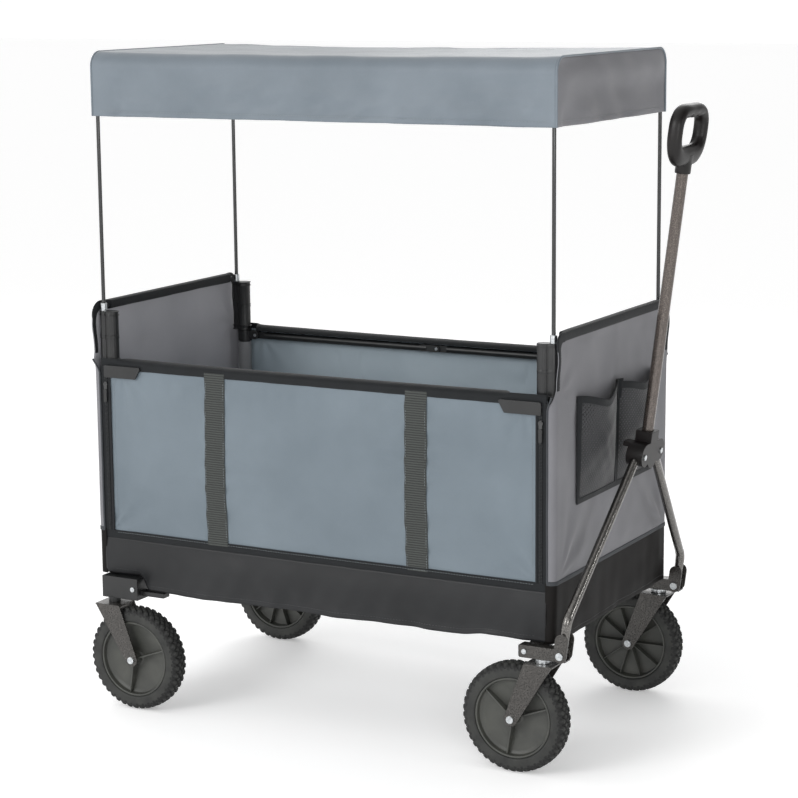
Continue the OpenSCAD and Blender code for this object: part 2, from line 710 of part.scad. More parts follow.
rear_posts();
rear_cross_tube();
rear_top_rod();
rear_sockets();
rear_corner_blocks();
rear_forks();
rear_axles();
rear_end_panel();
rear_pockets();
rear_skirt();
rear_rail_brackets();
rear_fasteners();
rear_corner_zips();
side_panels();
side_skirts();
panel_bindings();
side_straps();
floor_frame_rear();
floor_board_rear();
floor_hinge_pins();
floor_frame_front();
floor_board_front();
lift_strap();
rails_rear();
rails_front();
rail_hinge_pins();
front_posts();
front_cross_tube();
front_top_rod();
front_sockets();
front_brackets();
front_end_panel();
front_pockets();
front_skirt();
front_rail_brackets();
front_fasteners();
front_corner_zips();
caster_fork_left();
caster_fork_right();
caster_axle_left();
caster_axle_right();
tyre_rear_left();
tyre_rear_right();
tyre_front_left();
tyre_front_right();
hub_rear_left();
hub_rear_right();
hub_front_left();
hub_front_right();
yoke_ends();
yoke_tubes();
handle_block();
handle_tube();
grip();
handle_rivets();
hoop_rear();
hoop_front();
ferrules_rear();
ferrules_front();
canopy_cover();
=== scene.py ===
import math

import bmesh
import bpy
import numpy as np
from mathutils import Matrix, Vector


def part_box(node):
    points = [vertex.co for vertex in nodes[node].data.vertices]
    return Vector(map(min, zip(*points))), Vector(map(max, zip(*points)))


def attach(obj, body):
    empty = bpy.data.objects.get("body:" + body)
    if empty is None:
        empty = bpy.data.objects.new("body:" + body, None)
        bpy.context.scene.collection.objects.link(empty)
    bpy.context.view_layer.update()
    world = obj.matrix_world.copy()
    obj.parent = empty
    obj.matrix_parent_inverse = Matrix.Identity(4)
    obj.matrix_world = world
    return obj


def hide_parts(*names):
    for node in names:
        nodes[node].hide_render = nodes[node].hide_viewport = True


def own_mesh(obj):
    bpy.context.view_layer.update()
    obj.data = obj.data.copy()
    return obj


# A folding pull wagon: steel end frames on four wheels, cloth walls, a tall handle and a canopy.
# Lengths are millimetres from the middle of the four corner posts: X runs towards the handle,
# Y to the wagon's left and Z up, with the wheels' axles at 89. in_row() turns them to the
# frame's metres, which start at the ground under the whole wagon's middle.

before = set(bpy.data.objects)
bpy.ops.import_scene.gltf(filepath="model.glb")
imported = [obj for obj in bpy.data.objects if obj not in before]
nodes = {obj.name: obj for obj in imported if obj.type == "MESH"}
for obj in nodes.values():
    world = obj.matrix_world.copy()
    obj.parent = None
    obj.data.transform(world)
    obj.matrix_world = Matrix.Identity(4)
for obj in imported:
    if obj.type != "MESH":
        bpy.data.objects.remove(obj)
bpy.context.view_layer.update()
posts_middle = (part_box("rear_posts")[0][0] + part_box("front_posts")[1][0]) / 2
axle_z = 89.0
raised = (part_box("rear_axles")[0][2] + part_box("rear_axles")[1][2]) / 2 - axle_z / 1000


def in_row(points):
    """Millimetres about the middle of the posts to metres in the frame."""
    return np.asarray(points, float) / 1000 + [posts_middle, 0, raised]


# ---------- camera, floor and lights ----------
# A seamless white studio whose walls are dim towards +X, a large soft key lamp on the wagon's
# right side, weaker ones round it and a small one before the handle, so the side wall is the
# brightest and the handle end a stop darker.

view_azimuth, view_elevation, view_roll = (math.radians(a) for a in (28.40, 10.36, -0.525))
view_from = (2035.8, -3695.9, 1330.7)
view_lens = 105.97

backwards = Vector((math.sin(view_azimuth) * math.cos(view_elevation),
                    -math.cos(view_azimuth) * math.cos(view_elevation),
                    math.sin(view_elevation)))
level = Vector((0, 0, 1)).cross(backwards).normalized()
upright = backwards.cross(level)
rolled = math.cos(view_roll) * level + math.sin(view_roll) * upright
camera = bpy.data.objects.new("camera", bpy.data.cameras.new("camera"))
camera.data.sensor_width = 36
camera.data.lens = view_lens
camera.data.clip_end = 120
camera.matrix_world = (Matrix.Translation(in_row(view_from))
                       @ Matrix((rolled, backwards.cross(rolled), backwards)).transposed().to_4x4())
bpy.context.collection.objects.link(camera)
bpy.context.scene.camera = camera
bpy.context.scene.view_settings.view_transform = "Standard"


def linear(code):
    """Linear light of an sRGB hex colour, by the sRGB curve, with full alpha."""
    part = np.array([int(code[i:i + 2], 16) for i in (1, 3, 5)]) / 255
    light = np.where(part <= 0.04045, part / 12.92, ((part + 0.055) / 1.055) ** 2.4)
    return (*light.tolist(), 1.0)


def add_node(tree, kind, sockets=None, stops=None, **settings):
    """Adds a node: its settings, a ramp's stops as (place, hex), and its sockets' values or links."""
    node = tree.nodes.new(kind)
    for name, value in settings.items():
        setattr(node, name, value)
    for place, (at, code) in enumerate(stops or []):
        ramp = node.color_ramp.elements
        stop = ramp[place] if place < 2 else ramp.new(at)
        stop.position, stop.color = at, linear(code)
    for name, value in (sockets or {}).items():
        if isinstance(value, bpy.types.NodeSocket):
            tree.links.new(value, node.inputs[name])
        else:
            node.inputs[name].default_value = value
    return node


def start_finish(name, sockets):
    """A new material with its shader's plain values; returns it, its tree and its shader."""
    finish = bpy.data.materials.new(name)
    finish.use_nodes = True
    shader = finish.node_tree.nodes["Principled BSDF"]
    for socket, value in sockets.items():
        shader.inputs[socket].default_value = value
    return finish, finish.node_tree, shader


studio_floor = bpy.data.objects.new("studio_floor", bpy.data.meshes.new("studio_floor"))
floor_edge = 36.0
studio_floor.data.from_pydata(
    [(-floor_edge, -floor_edge, 0), (floor_edge, -floor_edge, 0),
     (floor_edge, floor_edge, 0), (-floor_edge, floor_edge, 0)], [], [(0, 1, 2, 3)])
bpy.context.collection.objects.link(studio_floor)
pale_paint = start_finish("pale_studio_paint", {
    "Base Color": linear("#fbfbfb"), "Roughness": 0.9,
    "Emission Color": linear("#ffffff"), "Emission Strength": 0.27})[0]
studio_floor.data.materials.append(pale_paint)

studio = bpy.data.worlds.new("studio")
bpy.context.scene.world = studio
studio.use_nodes = True
towards = add_node(studio.node_tree, "ShaderNodeSeparateXYZ", {
    "Vector": add_node(studio.node_tree, "ShaderNodeTexCoord").outputs["Generated"]})
walls = add_node(studio.node_tree, "ShaderNodeMapRange", {
    "Value": towards.outputs["X"], "From Min": -0.15, "From Max": 0.6, "To Min": 1.02, "To Max": 0.2})
sky_sockets = studio.node_tree.nodes["Background"].inputs
studio.node_tree.links.new(walls.outputs["Result"], sky_sockets["Strength"])
sky_sockets["Color"].default_value = linear("#ffffff")


def add_lamp(name, place, size, power):
    """A square lamp of this size in metres at a place in metres, turned to the wagon's middle."""
    lamp = bpy.data.objects.new(name, bpy.data.lights.new(name, "AREA"))
    lamp.data.size, lamp.data.energy = size, power
    lamp.location = place
    lamp.rotation_euler = (Vector(place) - Vector((0, 0, 0.5))).to_track_quat("Z", "Y").to_euler()
    bpy.context.collection.objects.link(lamp)


add_lamp("key_at_right_side", (-1.5, -3.8, 2.1), 1.8, 62)
add_lamp("fill_under_canopy", (2.4, -3.2, 1.3), 1.2, 33)
add_lamp("soft_before_handle", (4.2, -0.2, 1.5), 0.35, 14)
add_lamp("rim_over_left_side", (-0.8, 3.6, 2.6), 2.0, 30)


# ---------- painted tubes ----------
# Corner posts, cross tubes, rails and floor frames are welded mild steel tube with a
# satin black powder coat; the baked powder leaves a faint orange peel.

def wear(finish, *names):
    """Puts a finish on CAD nodes."""
    for name in names:
        for slot in nodes[name].material_slots:
            slot.material = finish


def tone_and_bump(tree, shader, tone_from, stops, height, strength, distance, edge=None):
    """Colours a shader by a ramp over one pattern and dents it by another, up to `distance` metres
    deep. `edge` is the radius in metres that its edges are rounded to in the shading."""
    tone = add_node(tree, "ShaderNodeValToRGB", {"Fac": tone_from}, stops=stops)
    tree.links.new(tone.outputs["Color"], shader.inputs["Base Color"])
    sockets = {"Height": height, "Strength": strength, "Distance": distance}
    if edge:
        rounded = add_node(tree, "ShaderNodeBevel", {"Radius": edge}, samples=4)
        sockets["Normal"] = rounded.outputs["Normal"]
    bump = add_node(tree, "ShaderNodeBump", sockets)
    tree.links.new(bump.outputs["Normal"], shader.inputs["Normal"])


powder_coat, tree, shader = start_finish("satin_black_powder_coat", {"Roughness": 0.42})
where = add_node(tree, "ShaderNodeTexCoord").outputs["Object"]
# orange peel, about 1.5 mm from dimple to dimple
peel = add_node(tree, "ShaderNodeTexNoise", {"Vector": where, "Scale": 650.0, "Detail": 1.0})
rubbed = add_node(tree, "ShaderNodeTexNoise", {"Vector": where, "Scale": 22.0, "Detail": 3.0})
tone_and_bump(tree, shader, rubbed.outputs["Fac"], [(0.35, "#141516"), (0.7, "#1d1f20")],
              peel.outputs["Fac"], 0.25, 0.0002)
wear(powder_coat, "rear_posts", "rear_cross_tube", "rear_top_rod", "floor_frame_rear",
     "floor_frame_front", "rails_rear", "rails_front", "front_posts", "front_cross_tube", "front_top_rod")


# ---------- forks, brackets and yoke ----------
# Pressed and bent 2.5 mm sheet and 16 mm tube in a hammered grey paint: glossy, with a dimpled skin of
# small cells and softly rounded edges.

def hammered(name, pit, ridge, gloss, metal=0.55):
    """Hammered paint: cells of about 1.4 mm, their hollows darkened by painted shade and their ridges
    lightened by a painted highlight.
    """
    finish, tree, shader = start_finish(name, {
        "Metallic": metal, "Roughness": gloss, "Coat Weight": 0.35, "Coat Roughness": 0.18})
    where = add_node(tree, "ShaderNodeTexCoord").outputs["Object"]
    warp = add_node(tree, "ShaderNodeTexNoise", {"Vector": where, "Scale": 120.0, "Detail": 2.0})
    bent = add_node(tree, "ShaderNodeVectorMath", operation="MULTIPLY_ADD", sockets={
        0: warp.outputs["Color"], 1: (0.003, 0.003, 0.003), 2: where})
    cells = add_node(tree, "ShaderNodeTexVoronoi", {"Vector": bent.outputs["Vector"], "Scale": 720.0},
                     feature="SMOOTH_F1")
    # the colour follows the cells' height: painted shade in the hollows, a painted highlight on the
    # ridges
    tone_and_bump(tree, shader, cells.outputs["Distance"], [(0.15, pit), (0.75, ridge)],
                  cells.outputs["Distance"], 0.4, 0.0003, edge=0.0016)
    return finish


hammered_grey = hammered("hammered_grey_paint", "#232220", "#575451", 0.26)
hammered_brown = hammered("hammered_brown_paint", "#352f2c", "#766d67", 0.25)
hammered_silver = hammered("hammered_silver_paint", "#3a3938", "#8b8884", 0.2, 0.9)
wear(hammered_grey, "rear_forks", "caster_fork_left", "caster_fork_right", "front_brackets", "yoke_ends")
wear(hammered_silver, "yoke_tubes")
wear(hammered_brown, "handle_tube")


# ---------- axles, rivets and ferrules ----------
# Cold-headed steel with bright zinc plate: cloudy, with softly rounded edges.

zinc_plate, tree, shader = start_finish("bright_zinc_plate", {"Metallic": 1.0, "Roughness": 0.3})
where = add_node(tree, "ShaderNodeTexCoord").outputs["Object"]
cloud = add_node(tree, "ShaderNodeTexNoise", {"Vector": where, "Scale": 260.0, "Detail": 3.0})
tone_and_bump(tree, shader, cloud.outputs["Fac"], [(0.3, "#a9adb0"), (0.7, "#d8dbdc")],
              cloud.outputs["Fac"], 0.15, 0.0002, edge=0.0009)
wear(zinc_plate, "rear_axles", "caster_axle_left", "caster_axle_right", "rear_fasteners",
     "front_fasteners", "floor_hinge_pins", "rail_hinge_pins", "handle_rivets",
     "ferrules_rear", "ferrules_front")


# ---------- corner blocks and rail brackets ----------
# Injection-moulded black nylon with a fine spark-eroded grain and softly rounded edges.

black_nylon, tree, shader = start_finish("moulded_black_nylon", {"Roughness": 0.4, "IOR": 1.53})
where = add_node(tree, "ShaderNodeTexCoord").outputs["Object"]
# the grain of the mould, 0.5 mm on the real part, drawn at 1 mm so that it shows
grain = add_node(tree, "ShaderNodeTexNoise", {"Vector": where, "Scale": 1000.0, "Detail": 2.0})
scuff = add_node(tree, "ShaderNodeTexNoise", {"Vector": where, "Scale": 30.0, "Detail": 4.0})
tone_and_bump(tree, shader, scuff.outputs["Fac"], [(0.35, "#0e0f10"), (0.72, "#191a1b")],
              grain.outputs["Fac"], 0.2, 0.0002, edge=0.0018)
wear(black_nylon, "rear_corner_blocks", "rear_rail_brackets", "front_rail_brackets")


# ---------- corner sockets ----------
# One nylon moulding caps each post and takes a hoop's leg beside it. Its two lobes carry
# fine upright flutes, its rims are rounded, and it is pinned to the post.

post_x, post_y, pole_x = 432.0, 226.0, 449.0
socket_low, socket_collar, socket_high = 630.0, 676.0, 725.0
socket_middle = np.array([5.0, 0.0])


def shell(grid, around=False, along=False, caps=False):
    """Faces of a rows x cols grid of points. around closes each row on itself, along joins the last
    row to the first, and caps fills the first and last rows. Flat coordinates are the mean
    distances, in metres, along a row and from row to row."""
    rows, cols = grid.shape[:2]
    wide = np.concatenate([grid, grid[:, :1]], 1) if around else grid
    tall = np.concatenate([grid, grid[:1]], 0) if along else grid
    u = np.append(0, np.cumsum(np.linalg.norm(np.diff(wide, axis=1), axis=2).mean(0))) / 1000
    v = np.append(0, np.cumsum(np.linalg.norm(np.diff(tall, axis=0), axis=2).mean(1))) / 1000
    r, c = np.meshgrid(np.arange(len(v) - 1), np.arange(len(u) - 1), indexing="ij")
    corner_r = np.stack([r, r, r + 1, r + 1], -1).reshape(-1, 4)
    corner_c = np.stack([c, c + 1, c + 1, c], -1).reshape(-1, 4)
    faces = ((corner_r % rows) * cols + corner_c % cols).tolist()
    flat = np.stack([u[corner_c], v[corner_r]], -1).reshape(-1, 2)
    if caps:
        faces += [list(range(cols))[::-1], list(range((rows - 1) * cols, rows * cols))]
        flat = np.concatenate([flat, grid[0, ::-1, :2] / 1000, grid[-1, :, :2] / 1000])
    return grid.reshape(-1, 3), faces, flat


def bar(rings):
    """A solid from closed rings, with its first and last ring filled."""
    return shell(rings, around=True, caps=True)


def make_piece(name, shells, finish, closed=True, sharp=40):
    """One mesh object of several shells, in the frame's metres. Closed shells are turned to face
    outwards, and edges bent by more than `sharp` degrees stay sharp in the shading."""
    points, faces, flat, start = [], [], [], 0
    for part_points, part_faces, part_flat in shells:
        points.append(part_points)
        faces += [[i + start for i in face] for face in part_faces]
        flat.append(part_flat)
        start += len(part_points)
    mesh = bpy.data.meshes.new(name)
    mesh.from_pydata(in_row(np.concatenate(points)).tolist(), [], faces)
    flat_map = mesh.uv_layers.new(name="flat").data
    flat_map.foreach_set("uv", np.concatenate(flat).astype(np.float32).ravel())
    if closed:
        work = bmesh.new()
        work.from_mesh(mesh)
        bmesh.ops.recalc_face_normals(work, faces=work.faces)
        work.to_mesh(mesh)
        work.free()
    mesh.polygons.foreach_set("use_smooth", np.ones(len(mesh.polygons), bool))
    mesh.set_sharp_from_angle(angle=math.radians(sharp))
    mesh.materials.append(finish)
    piece = bpy.data.objects.new(name, mesh)
    bpy.context.collection.objects.link(piece)
    return piece


def lobes(circles, boxes, middle, count, soften=2.0):
    """Outline round a group of circles (x, y, radius) and boxes (x0, x1, y0, y1): the furthest
    point of any of them on each ray from the middle, smoothed over `soften` steps either way."""
    turn = np.linspace(0, 2 * np.pi, count, endpoint=False)
    ray = np.stack([np.cos(turn), np.sin(turn)], 1)
    reach = np.zeros(count)
    for x, y, radius in circles:
        to = np.array([x, y]) - middle
        near = ray @ to
        inside = radius ** 2 - (to @ to - near ** 2)
        reach = np.maximum(reach, np.where(inside > 0, near + np.sqrt(np.abs(inside)), 0))
    for x0, x1, y0, y1 in boxes:
        edges = np.where(ray > 0, [x1, y1] - middle, middle - [x0, y0])
        reach = np.maximum(reach, (edges / np.maximum(np.abs(ray), 1e-9)).min(1))
    steps = np.arange(-8, 9)
    weight = np.exp(-(steps / soften) ** 2)
    reach = sum(w * np.roll(reach, s) for s, w in zip(steps, weight / weight.sum()))
    return middle + reach[:, None] * ray


def moulding(outline, low, high, edge, origin=(0, 0, 0), axes=np.eye(3), taper=0.0):
    """A plate of this outline from low to high with edges rounded by `edge`: rings of the outline,
    each drawn in along its own normals, with flat ends. axes are the directions of the outline's
    two coordinates and of its height; taper draws the low end in."""
    middle = outline.mean(0)
    ahead = np.roll(outline, -1, 0) - np.roll(outline, 1, 0)
    outwards = np.stack([ahead[:, 1], -ahead[:, 0]], 1)
    outwards /= np.linalg.norm(outwards, axis=1, keepdims=True)
    bend = np.linspace(0, np.pi / 2, 5)
    drawn = np.concatenate([edge * (1 - np.sin(bend)), edge * (1 - np.cos(bend))])
    height = np.concatenate([low + edge * (1 - np.cos(bend)), high - edge * (1 - np.sin(bend))])
    drawn = drawn + taper * (high - height) / (high - low)
    rings = outline[None] - drawn[:, None, None] * outwards[None]
    core = middle + (rings[[0, -1]] - middle) * 0.5
    rings = np.concatenate([core[:1], rings, core[1:]])
    height = np.concatenate([[low], height, [high]])
    local = np.concatenate([rings, np.broadcast_to(height[:, None, None], rings.shape[:2] + (1,))], 2)
    return np.asarray(origin) + local @ np.asarray(axes)


for end, body in ((-1, "rear_frame"), (1, "front_frame")):
    outline = lobes([(0, 0, 12.1), (pole_x - post_x, 0, 7.2)], [(0, pole_x - post_x, -7.2, 7.2)],
                    socket_middle, 240)
    # flutes 3.5 mm apart and 0.4 mm deep
    out = outline - socket_middle
    flutes = 0.4 * np.sin(np.arange(240) * np.pi / 10) ** 8 / np.linalg.norm(out, axis=1)
    outline = (socket_middle + out * (1 - flutes)[:, None]) * [end, 1]
    sleeve = lobes([(0, 0, 12.5), (pole_x - post_x, 0, 7.5)], [(0, pole_x - post_x, -7.5, 7.5)],
                   socket_middle, 120) * [end, 1]
    # the fluted body, then the smooth rim at its top, the one at its foot and a collar between
    plates = ((outline, socket_low + 6, socket_high - 5, 1.2),
              (sleeve, socket_high - 7, socket_high, 1.8),
              (sleeve, socket_low, socket_low + 8, 2.0),
              (sleeve, socket_collar, socket_collar + 5, 1.0))
    mouldings = [bar(moulding(line, low, high, round_edge, (end * post_x, side * post_y, 0)))
                 for side in (-1, 1) for line, low, high, round_edge in plates]
    sockets = make_piece("sockets_" + body, mouldings, black_nylon)
    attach(sockets, body)
    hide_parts("rear_sockets" if end < 0 else "front_sockets")


# ---------- wheels ----------
# A moulded polypropylene hub, dished, with a rolled rim, three ribs outside and ten inside,
# carries a foamed rubber tyre with a waffle of diamond blocks cut over its shoulders.

wheel_y, rim_r = 254.0, 70.0
tyre_r = (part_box("tyre_front_left")[1][2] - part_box("tyre_front_left")[0][2]) * 500
tread_blocks, groove_deep, block_wide = 42, 3.4, 12.6

rubber, tree, shader = start_finish("foamed_tyre_rubber", {"Roughness": 0.68, "IOR": 1.52})
where = add_node(tree, "ShaderNodeTexCoord").outputs["Object"]
skin = add_node(tree, "ShaderNodeTexNoise", {"Vector": where, "Scale": 900.0, "Detail": 2.0})
dust = add_node(tree, "ShaderNodeTexNoise", {"Vector": where, "Scale": 45.0, "Detail": 5.0})
# dust lightens the rubber in places, and painted shade darkens the grooves by how deep each is cut
top = add_node(tree, "ShaderNodeAttribute", attribute_name="groove_shade_mask").outputs["Fac"]
dust_and_groove_shade = add_node(tree, "ShaderNodeMath", {0: dust.outputs["Fac"], 1: top}, operation="SUBTRACT")
tone_and_bump(tree, shader, dust_and_groove_shade.outputs[0], [(0.0, "#0a0b0a"), (0.3, "#1a1b1a"), (0.75, "#31322f")],
              skin.outputs["Fac"], 0.3, 0.0003)

polypropylene, tree, shader = start_finish("moulded_grey_polypropylene", {"Roughness": 0.46, "IOR": 1.49})
where = add_node(tree, "ShaderNodeTexCoord").outputs["Object"]
flow = add_node(tree, "ShaderNodeTexNoise", {
    "Vector": where, "Scale": 18.0, "Detail": 3.0, "Distortion": 0.6})
grain = add_node(tree, "ShaderNodeTexNoise", {"Vector": where, "Scale": 1100.0, "Detail": 1.0})
tone_and_bump(tree, shader, flow.outputs["Fac"], [(0.3, "#363734"), (0.75, "#494a45")],
              grain.outputs["Fac"], 0.15, 0.0002)


def fillet(corners, radius, steps=4):
    """A polyline with each inner corner replaced by a short curve: points of the quadratic curve
    that leaves one leg and meets the next within `radius` of the corner."""
    corners = np.asarray(corners, float)
    line = [corners[:1]]
    for before, corner, after in zip(corners, corners[1:], corners[2:]):
        legs = [before - corner, after - corner]
        cut = [leg * min(radius / np.linalg.norm(leg), 0.45) for leg in legs]
        t = np.linspace(0, 1, steps)[:, None]
        line.append(corner + (1 - t) ** 2 * cut[0] + t ** 2 * cut[1])
    return np.concatenate(line + [corners[-1:]])


def spun(profile, centre, count):
    """A profile of (distance along the axle, radius) turned about an axle along Y."""
    turn = np.linspace(0, 2 * np.pi, count, endpoint=False)[:, None]
    out = np.broadcast_to(profile[:, 0], (count, len(profile)))
    return np.stack([centre[0] + profile[:, 1] * np.cos(turn), centre[1] + out,
                     centre[2] + profile[:, 1] * np.sin(turn)], 2)


def slab(corners_low, corners_high, edge=0.8):
    """A block from four bottom corners to four top corners, its outline rounded by `edge`."""
    t = np.linspace(0, 1, 4)[:, None]

    def ring(corners):
        corners = np.asarray(corners, float)
        parts = []
        for i in range(4):
            before, corner, after = corners[i - 1], corners[i], corners[(i + 1) % 4]
            a = (before - corner) * min(edge / np.linalg.norm(before - corner), 0.45)
            b = (after - corner) * min(edge / np.linalg.norm(after - corner), 0.45)
            parts.append(corner + (1 - t) ** 2 * a + t ** 2 * b)
        return np.concatenate(parts)

    low, high = ring(corners_low), ring(corners_high)
    crest = high.mean(0) + (high - high.mean(0)) * 0.94
    shoulder = high + (low - high) * 0.08
    return np.stack([low, shoulder, crest])


def smooth(x, start, end):
    """Rises from 0 at start to 1 at end along 3t^2 - 2t^3."""
    t = np.clip((x - start) / (end - start), 0, 1)
    return t * t * (3 - 2 * t)


# half of the tyre's section, from the bead at the rim out over the shoulder to the crown
half_tyre = fillet([(-15.5, rim_r), (-18.6, rim_r + 1.5), (-19, rim_r + 6), (-18.8, tyre_r - 10),
                    (-17.4, tyre_r - 4.4), (-14, tyre_r - 1.4), (-7, tyre_r - 0.3), (0, tyre_r)], 2.5, 3)
fine = np.interp(np.linspace(0, len(half_tyre) - 1, 34), np.arange(len(half_tyre)), half_tyre[:, 0])
high = np.interp(np.linspace(0, len(half_tyre) - 1, 34), np.arange(len(half_tyre)), half_tyre[:, 1])
tyre_section = np.concatenate([np.stack([fine, high], 1), np.stack([-fine, high], 1)[-2::-1]])


def tyre_skin(centre):
    """The section turned about the axle, with the tread cut in: two families of slanted grooves,
    each a dip near every whole number of (turn/pitch + or - width/pitch), and one dip at
    every block on the shoulders. Returns the points and how deep each is cut, 0 to 1."""
    count = tread_blocks * 11
    grid = spun(tyre_section, centre, count)
    turn = np.arange(count)[:, None] / count * tread_blocks
    across = tyre_section[:, 0][None] / block_wide
    width = np.abs(tyre_section[:, 0])[None]
    slants = [np.abs((turn + s * across + 0.5) % 1 - 0.5) for s in (-1, 1)]
    cut = 1 - smooth(np.minimum(*slants), 0.08, 0.20)
    cut = cut * smooth(tyre_section[:, 1][None], tyre_r - 11, tyre_r - 5)
    notch = 1 - smooth(np.abs((turn + 0.5) % 1 - 0.5), 0.12, 0.26)
    notch = notch * smooth(width, 12, 15) * smooth(tyre_section[:, 1][None], tyre_r - 13, tyre_r - 8)
    cut = np.maximum(cut, notch)
    radius = tyre_section[:, 1][None] - groove_deep * cut
    angle = turn / tread_blocks * 2 * np.pi
    grid[..., 0] = centre[0] + radius * np.cos(angle)
    grid[..., 2] = centre[2] + radius * np.sin(angle)
    return grid, cut


def hub_shells(centre, side):
    """The turned body, then ribs as slabs that stand on the dish. side is the outer face."""
    outside = [(4.2, 4.25), (21.5, 4.25), (21.5, 9), (4.5, 10.5), (2.5, 14), (4, 40), (6.5, 60),
               (9, 65.4), (17, 66.4), (17.2, 69.95)]
    inside = [(-17.2, 69.95), (-17, 66.4), (-3, 65.4), (-2, 14), (-3, 10.5), (-21.5, 9), (-21.5, 4.25)]
    profile = fillet(outside[1:] + inside + outside[1:2], 1.6, 5)[:-1] * [side, 1]
    shells = [shell(spun(profile, centre, 120), around=True, along=True)]
    # a rib's corners: how far out from the axle, which side of the rib, and how far below its crest
    corners = ((8, 1, -3), (66.5, 1, 0), (66.5, -1, 0), (8, -1, -3))
    for count, low, high, thick, face, first in ((3, 2.0, 14.5, 4.2, 1, 20), (10, 0, 14, 2.2, -1, 0)):
        lift = np.array([0, side * face, 0])
        for turn in math.radians(first) + np.arange(count) * 2 * math.pi / count:
            out = np.array([math.cos(turn), 0, math.sin(turn)])
            beside = np.array([-math.sin(turn), 0, math.cos(turn)]) * thick / 2
            foot = [centre + out * r + beside * k + lift * low for r, k, _ in corners]
            crest = [centre + out * r + beside * k * 0.6 + lift * (high - drop) for r, k, drop in corners]
            shells.append(bar(slab(foot, crest, 0.7)))
    return shells


for place, x in (("rear", -375.0), ("front", 395.0)):
    for hand, side in (("left", 1), ("right", -1)):
        name = f"{place}_{hand}"
        centre = (x, side * wheel_y, axle_z)
        skin_grid, cut = tyre_skin(centre)
        tyre = make_piece("tread_" + name, [shell(skin_grid, along=True)], rubber, closed=False,
                          sharp=60)
        # how deep each point is cut, kept on the points to paint shade into the grooves
        groove_shade_mask = tyre.data.attributes.new("groove_shade_mask", "FLOAT", "POINT")
        groove_shade_mask.data.foreach_set("value", (0.8 * cut).astype(np.float32).ravel())
        hub = make_piece("spokes_" + name, hub_shells(centre, side), polypropylene)
        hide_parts("tyre_" + name)
        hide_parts("hub_" + name)
        for piece in (tyre, hub):
            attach(piece, "wheel_" + name)


# ---------- bracket plugs ----------
# Black nylon plugs close the rear ends of the two steel box channels over the casters.

bracket_x0, bracket_z = 405.0, 206.75

plugs = []
for side in (-1, 1):
    face = lobes([], [(-10.2, 10.2, -10.2, 10.2)], np.zeros(2), 64, 1.0)
    plugs.append(bar(moulding(face, -2.5, 4.0, 1.4, (bracket_x0, side * wheel_y, bracket_z),
                              ((0, 1, 0), (0, 0, 1), (1, 0, 0)))))
bracket_plugs = make_piece("bracket_plugs", plugs, black_nylon)
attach(bracket_plugs, "front_frame")


# ---------- floor mats ----------
# Each half of the floor is a stiff board in a padded polyester cover, sewn through in two
# lines and piped round its edge. A flat webbing loop by the middle pulls the floor up to fold it.

mat_low, mat_high, mat_half = 238.3, 246.3, 211.5
mat_x0, mat_x1 = 6.5, 392.5
# a wave texture's Scale for bands 1 mm apart on a map in metres, as it turns by 20 for each unit
waves_per_metre = 314.0


def oxford(name, dark, light, thread, gloss, sheen, weave=0.35, shine=0.35):
    """Coated polyester oxford cloth: paired threads in a plain weave under a thin matt coating, so it is
    even, a little silky at grazing light and cloudy where it was handled. Its colour follows the weave's
    height too, as a painted highlight on the thread crowns and painted shade between them. The threads
    are 0.4 mm apart on the real cloth and are drawn `thread` mm apart so that they show."""
    finish, tree, shader = start_finish(name, {
        "Roughness": gloss, "Sheen Weight": sheen, "Sheen Roughness": 0.45, "Specular IOR Level": shine})
    flat = add_node(tree, "ShaderNodeUVMap", uv_map="flat").outputs["UV"]
    where = add_node(tree, "ShaderNodeTexCoord").outputs["Object"]
    warp, weft = (add_node(tree, "ShaderNodeTexWave", {
        "Vector": flat, "Scale": waves_per_metre / thread}, bands_direction=way) for way in "XY")
    lumps = add_node(tree, "ShaderNodeMath", {0: warp.outputs["Fac"], 1: weft.outputs["Fac"]},
                     operation="MULTIPLY")
    slub = add_node(tree, "ShaderNodeTexNoise", {"Vector": where, "Scale": 420.0, "Detail": 2.0})
    height = add_node(tree, "ShaderNodeMath", {0: slub.outputs["Fac"], 1: 0.5, 2: lumps.outputs[0]},
                      operation="MULTIPLY_ADD")
    cloud = add_node(tree, "ShaderNodeTexNoise", {"Vector": where, "Scale": 7.0, "Detail": 4.0})
    weave_shade_and_cloud = add_node(tree, "ShaderNodeMath", {0: height.outputs[0], 1: 0.22, 2: cloud.outputs["Fac"]},
                     operation="MULTIPLY_ADD")
    # the ramp runs over the weave's height and the handling cloud: painted highlight on the crowns,
    # painted shade between them
    tone_and_bump(tree, shader, weave_shade_and_cloud.outputs[0], [(0.3, dark), (0.95, light)],
                  height.outputs[0], weave, 0.0003)
    return finish


def ribbed_tape(name, dark, light, rib, deep):
    """Woven tape: weft ribs straight across it, `rib` mm apart, with a painted highlight on their
    crowns and painted shade between them.
    """
    finish, tree, shader = start_finish(name, {
        "Roughness": 0.72, "Sheen Weight": 0.08, "Sheen Roughness": 0.5, "Specular IOR Level": 0.25})
    flat = add_node(tree, "ShaderNodeUVMap", uv_map="flat").outputs["UV"]
    where = add_node(tree, "ShaderNodeTexCoord").outputs["Object"]
    ribs = add_node(tree, "ShaderNodeTexWave", {
        "Vector": flat, "Scale": waves_per_metre / rib, "Distortion": 0.6,
        "Detail": 1.0, "Detail Scale": 3.0}, bands_direction="Y")
    fuzz = add_node(tree, "ShaderNodeTexNoise", {"Vector": where, "Scale": 500.0, "Detail": 2.0})
    height = add_node(tree, "ShaderNodeMath", {0: fuzz.outputs["Fac"], 1: 0.35, 2: ribs.outputs["Fac"]},
                      operation="MULTIPLY_ADD").outputs[0]
    # the colour follows the ribs' height: painted highlight on the crowns, painted shade in the hollows
    tone_and_bump(tree, shader, height, [(0.15, dark), (1.0, light)], height, deep, 0.0005)
    return finish


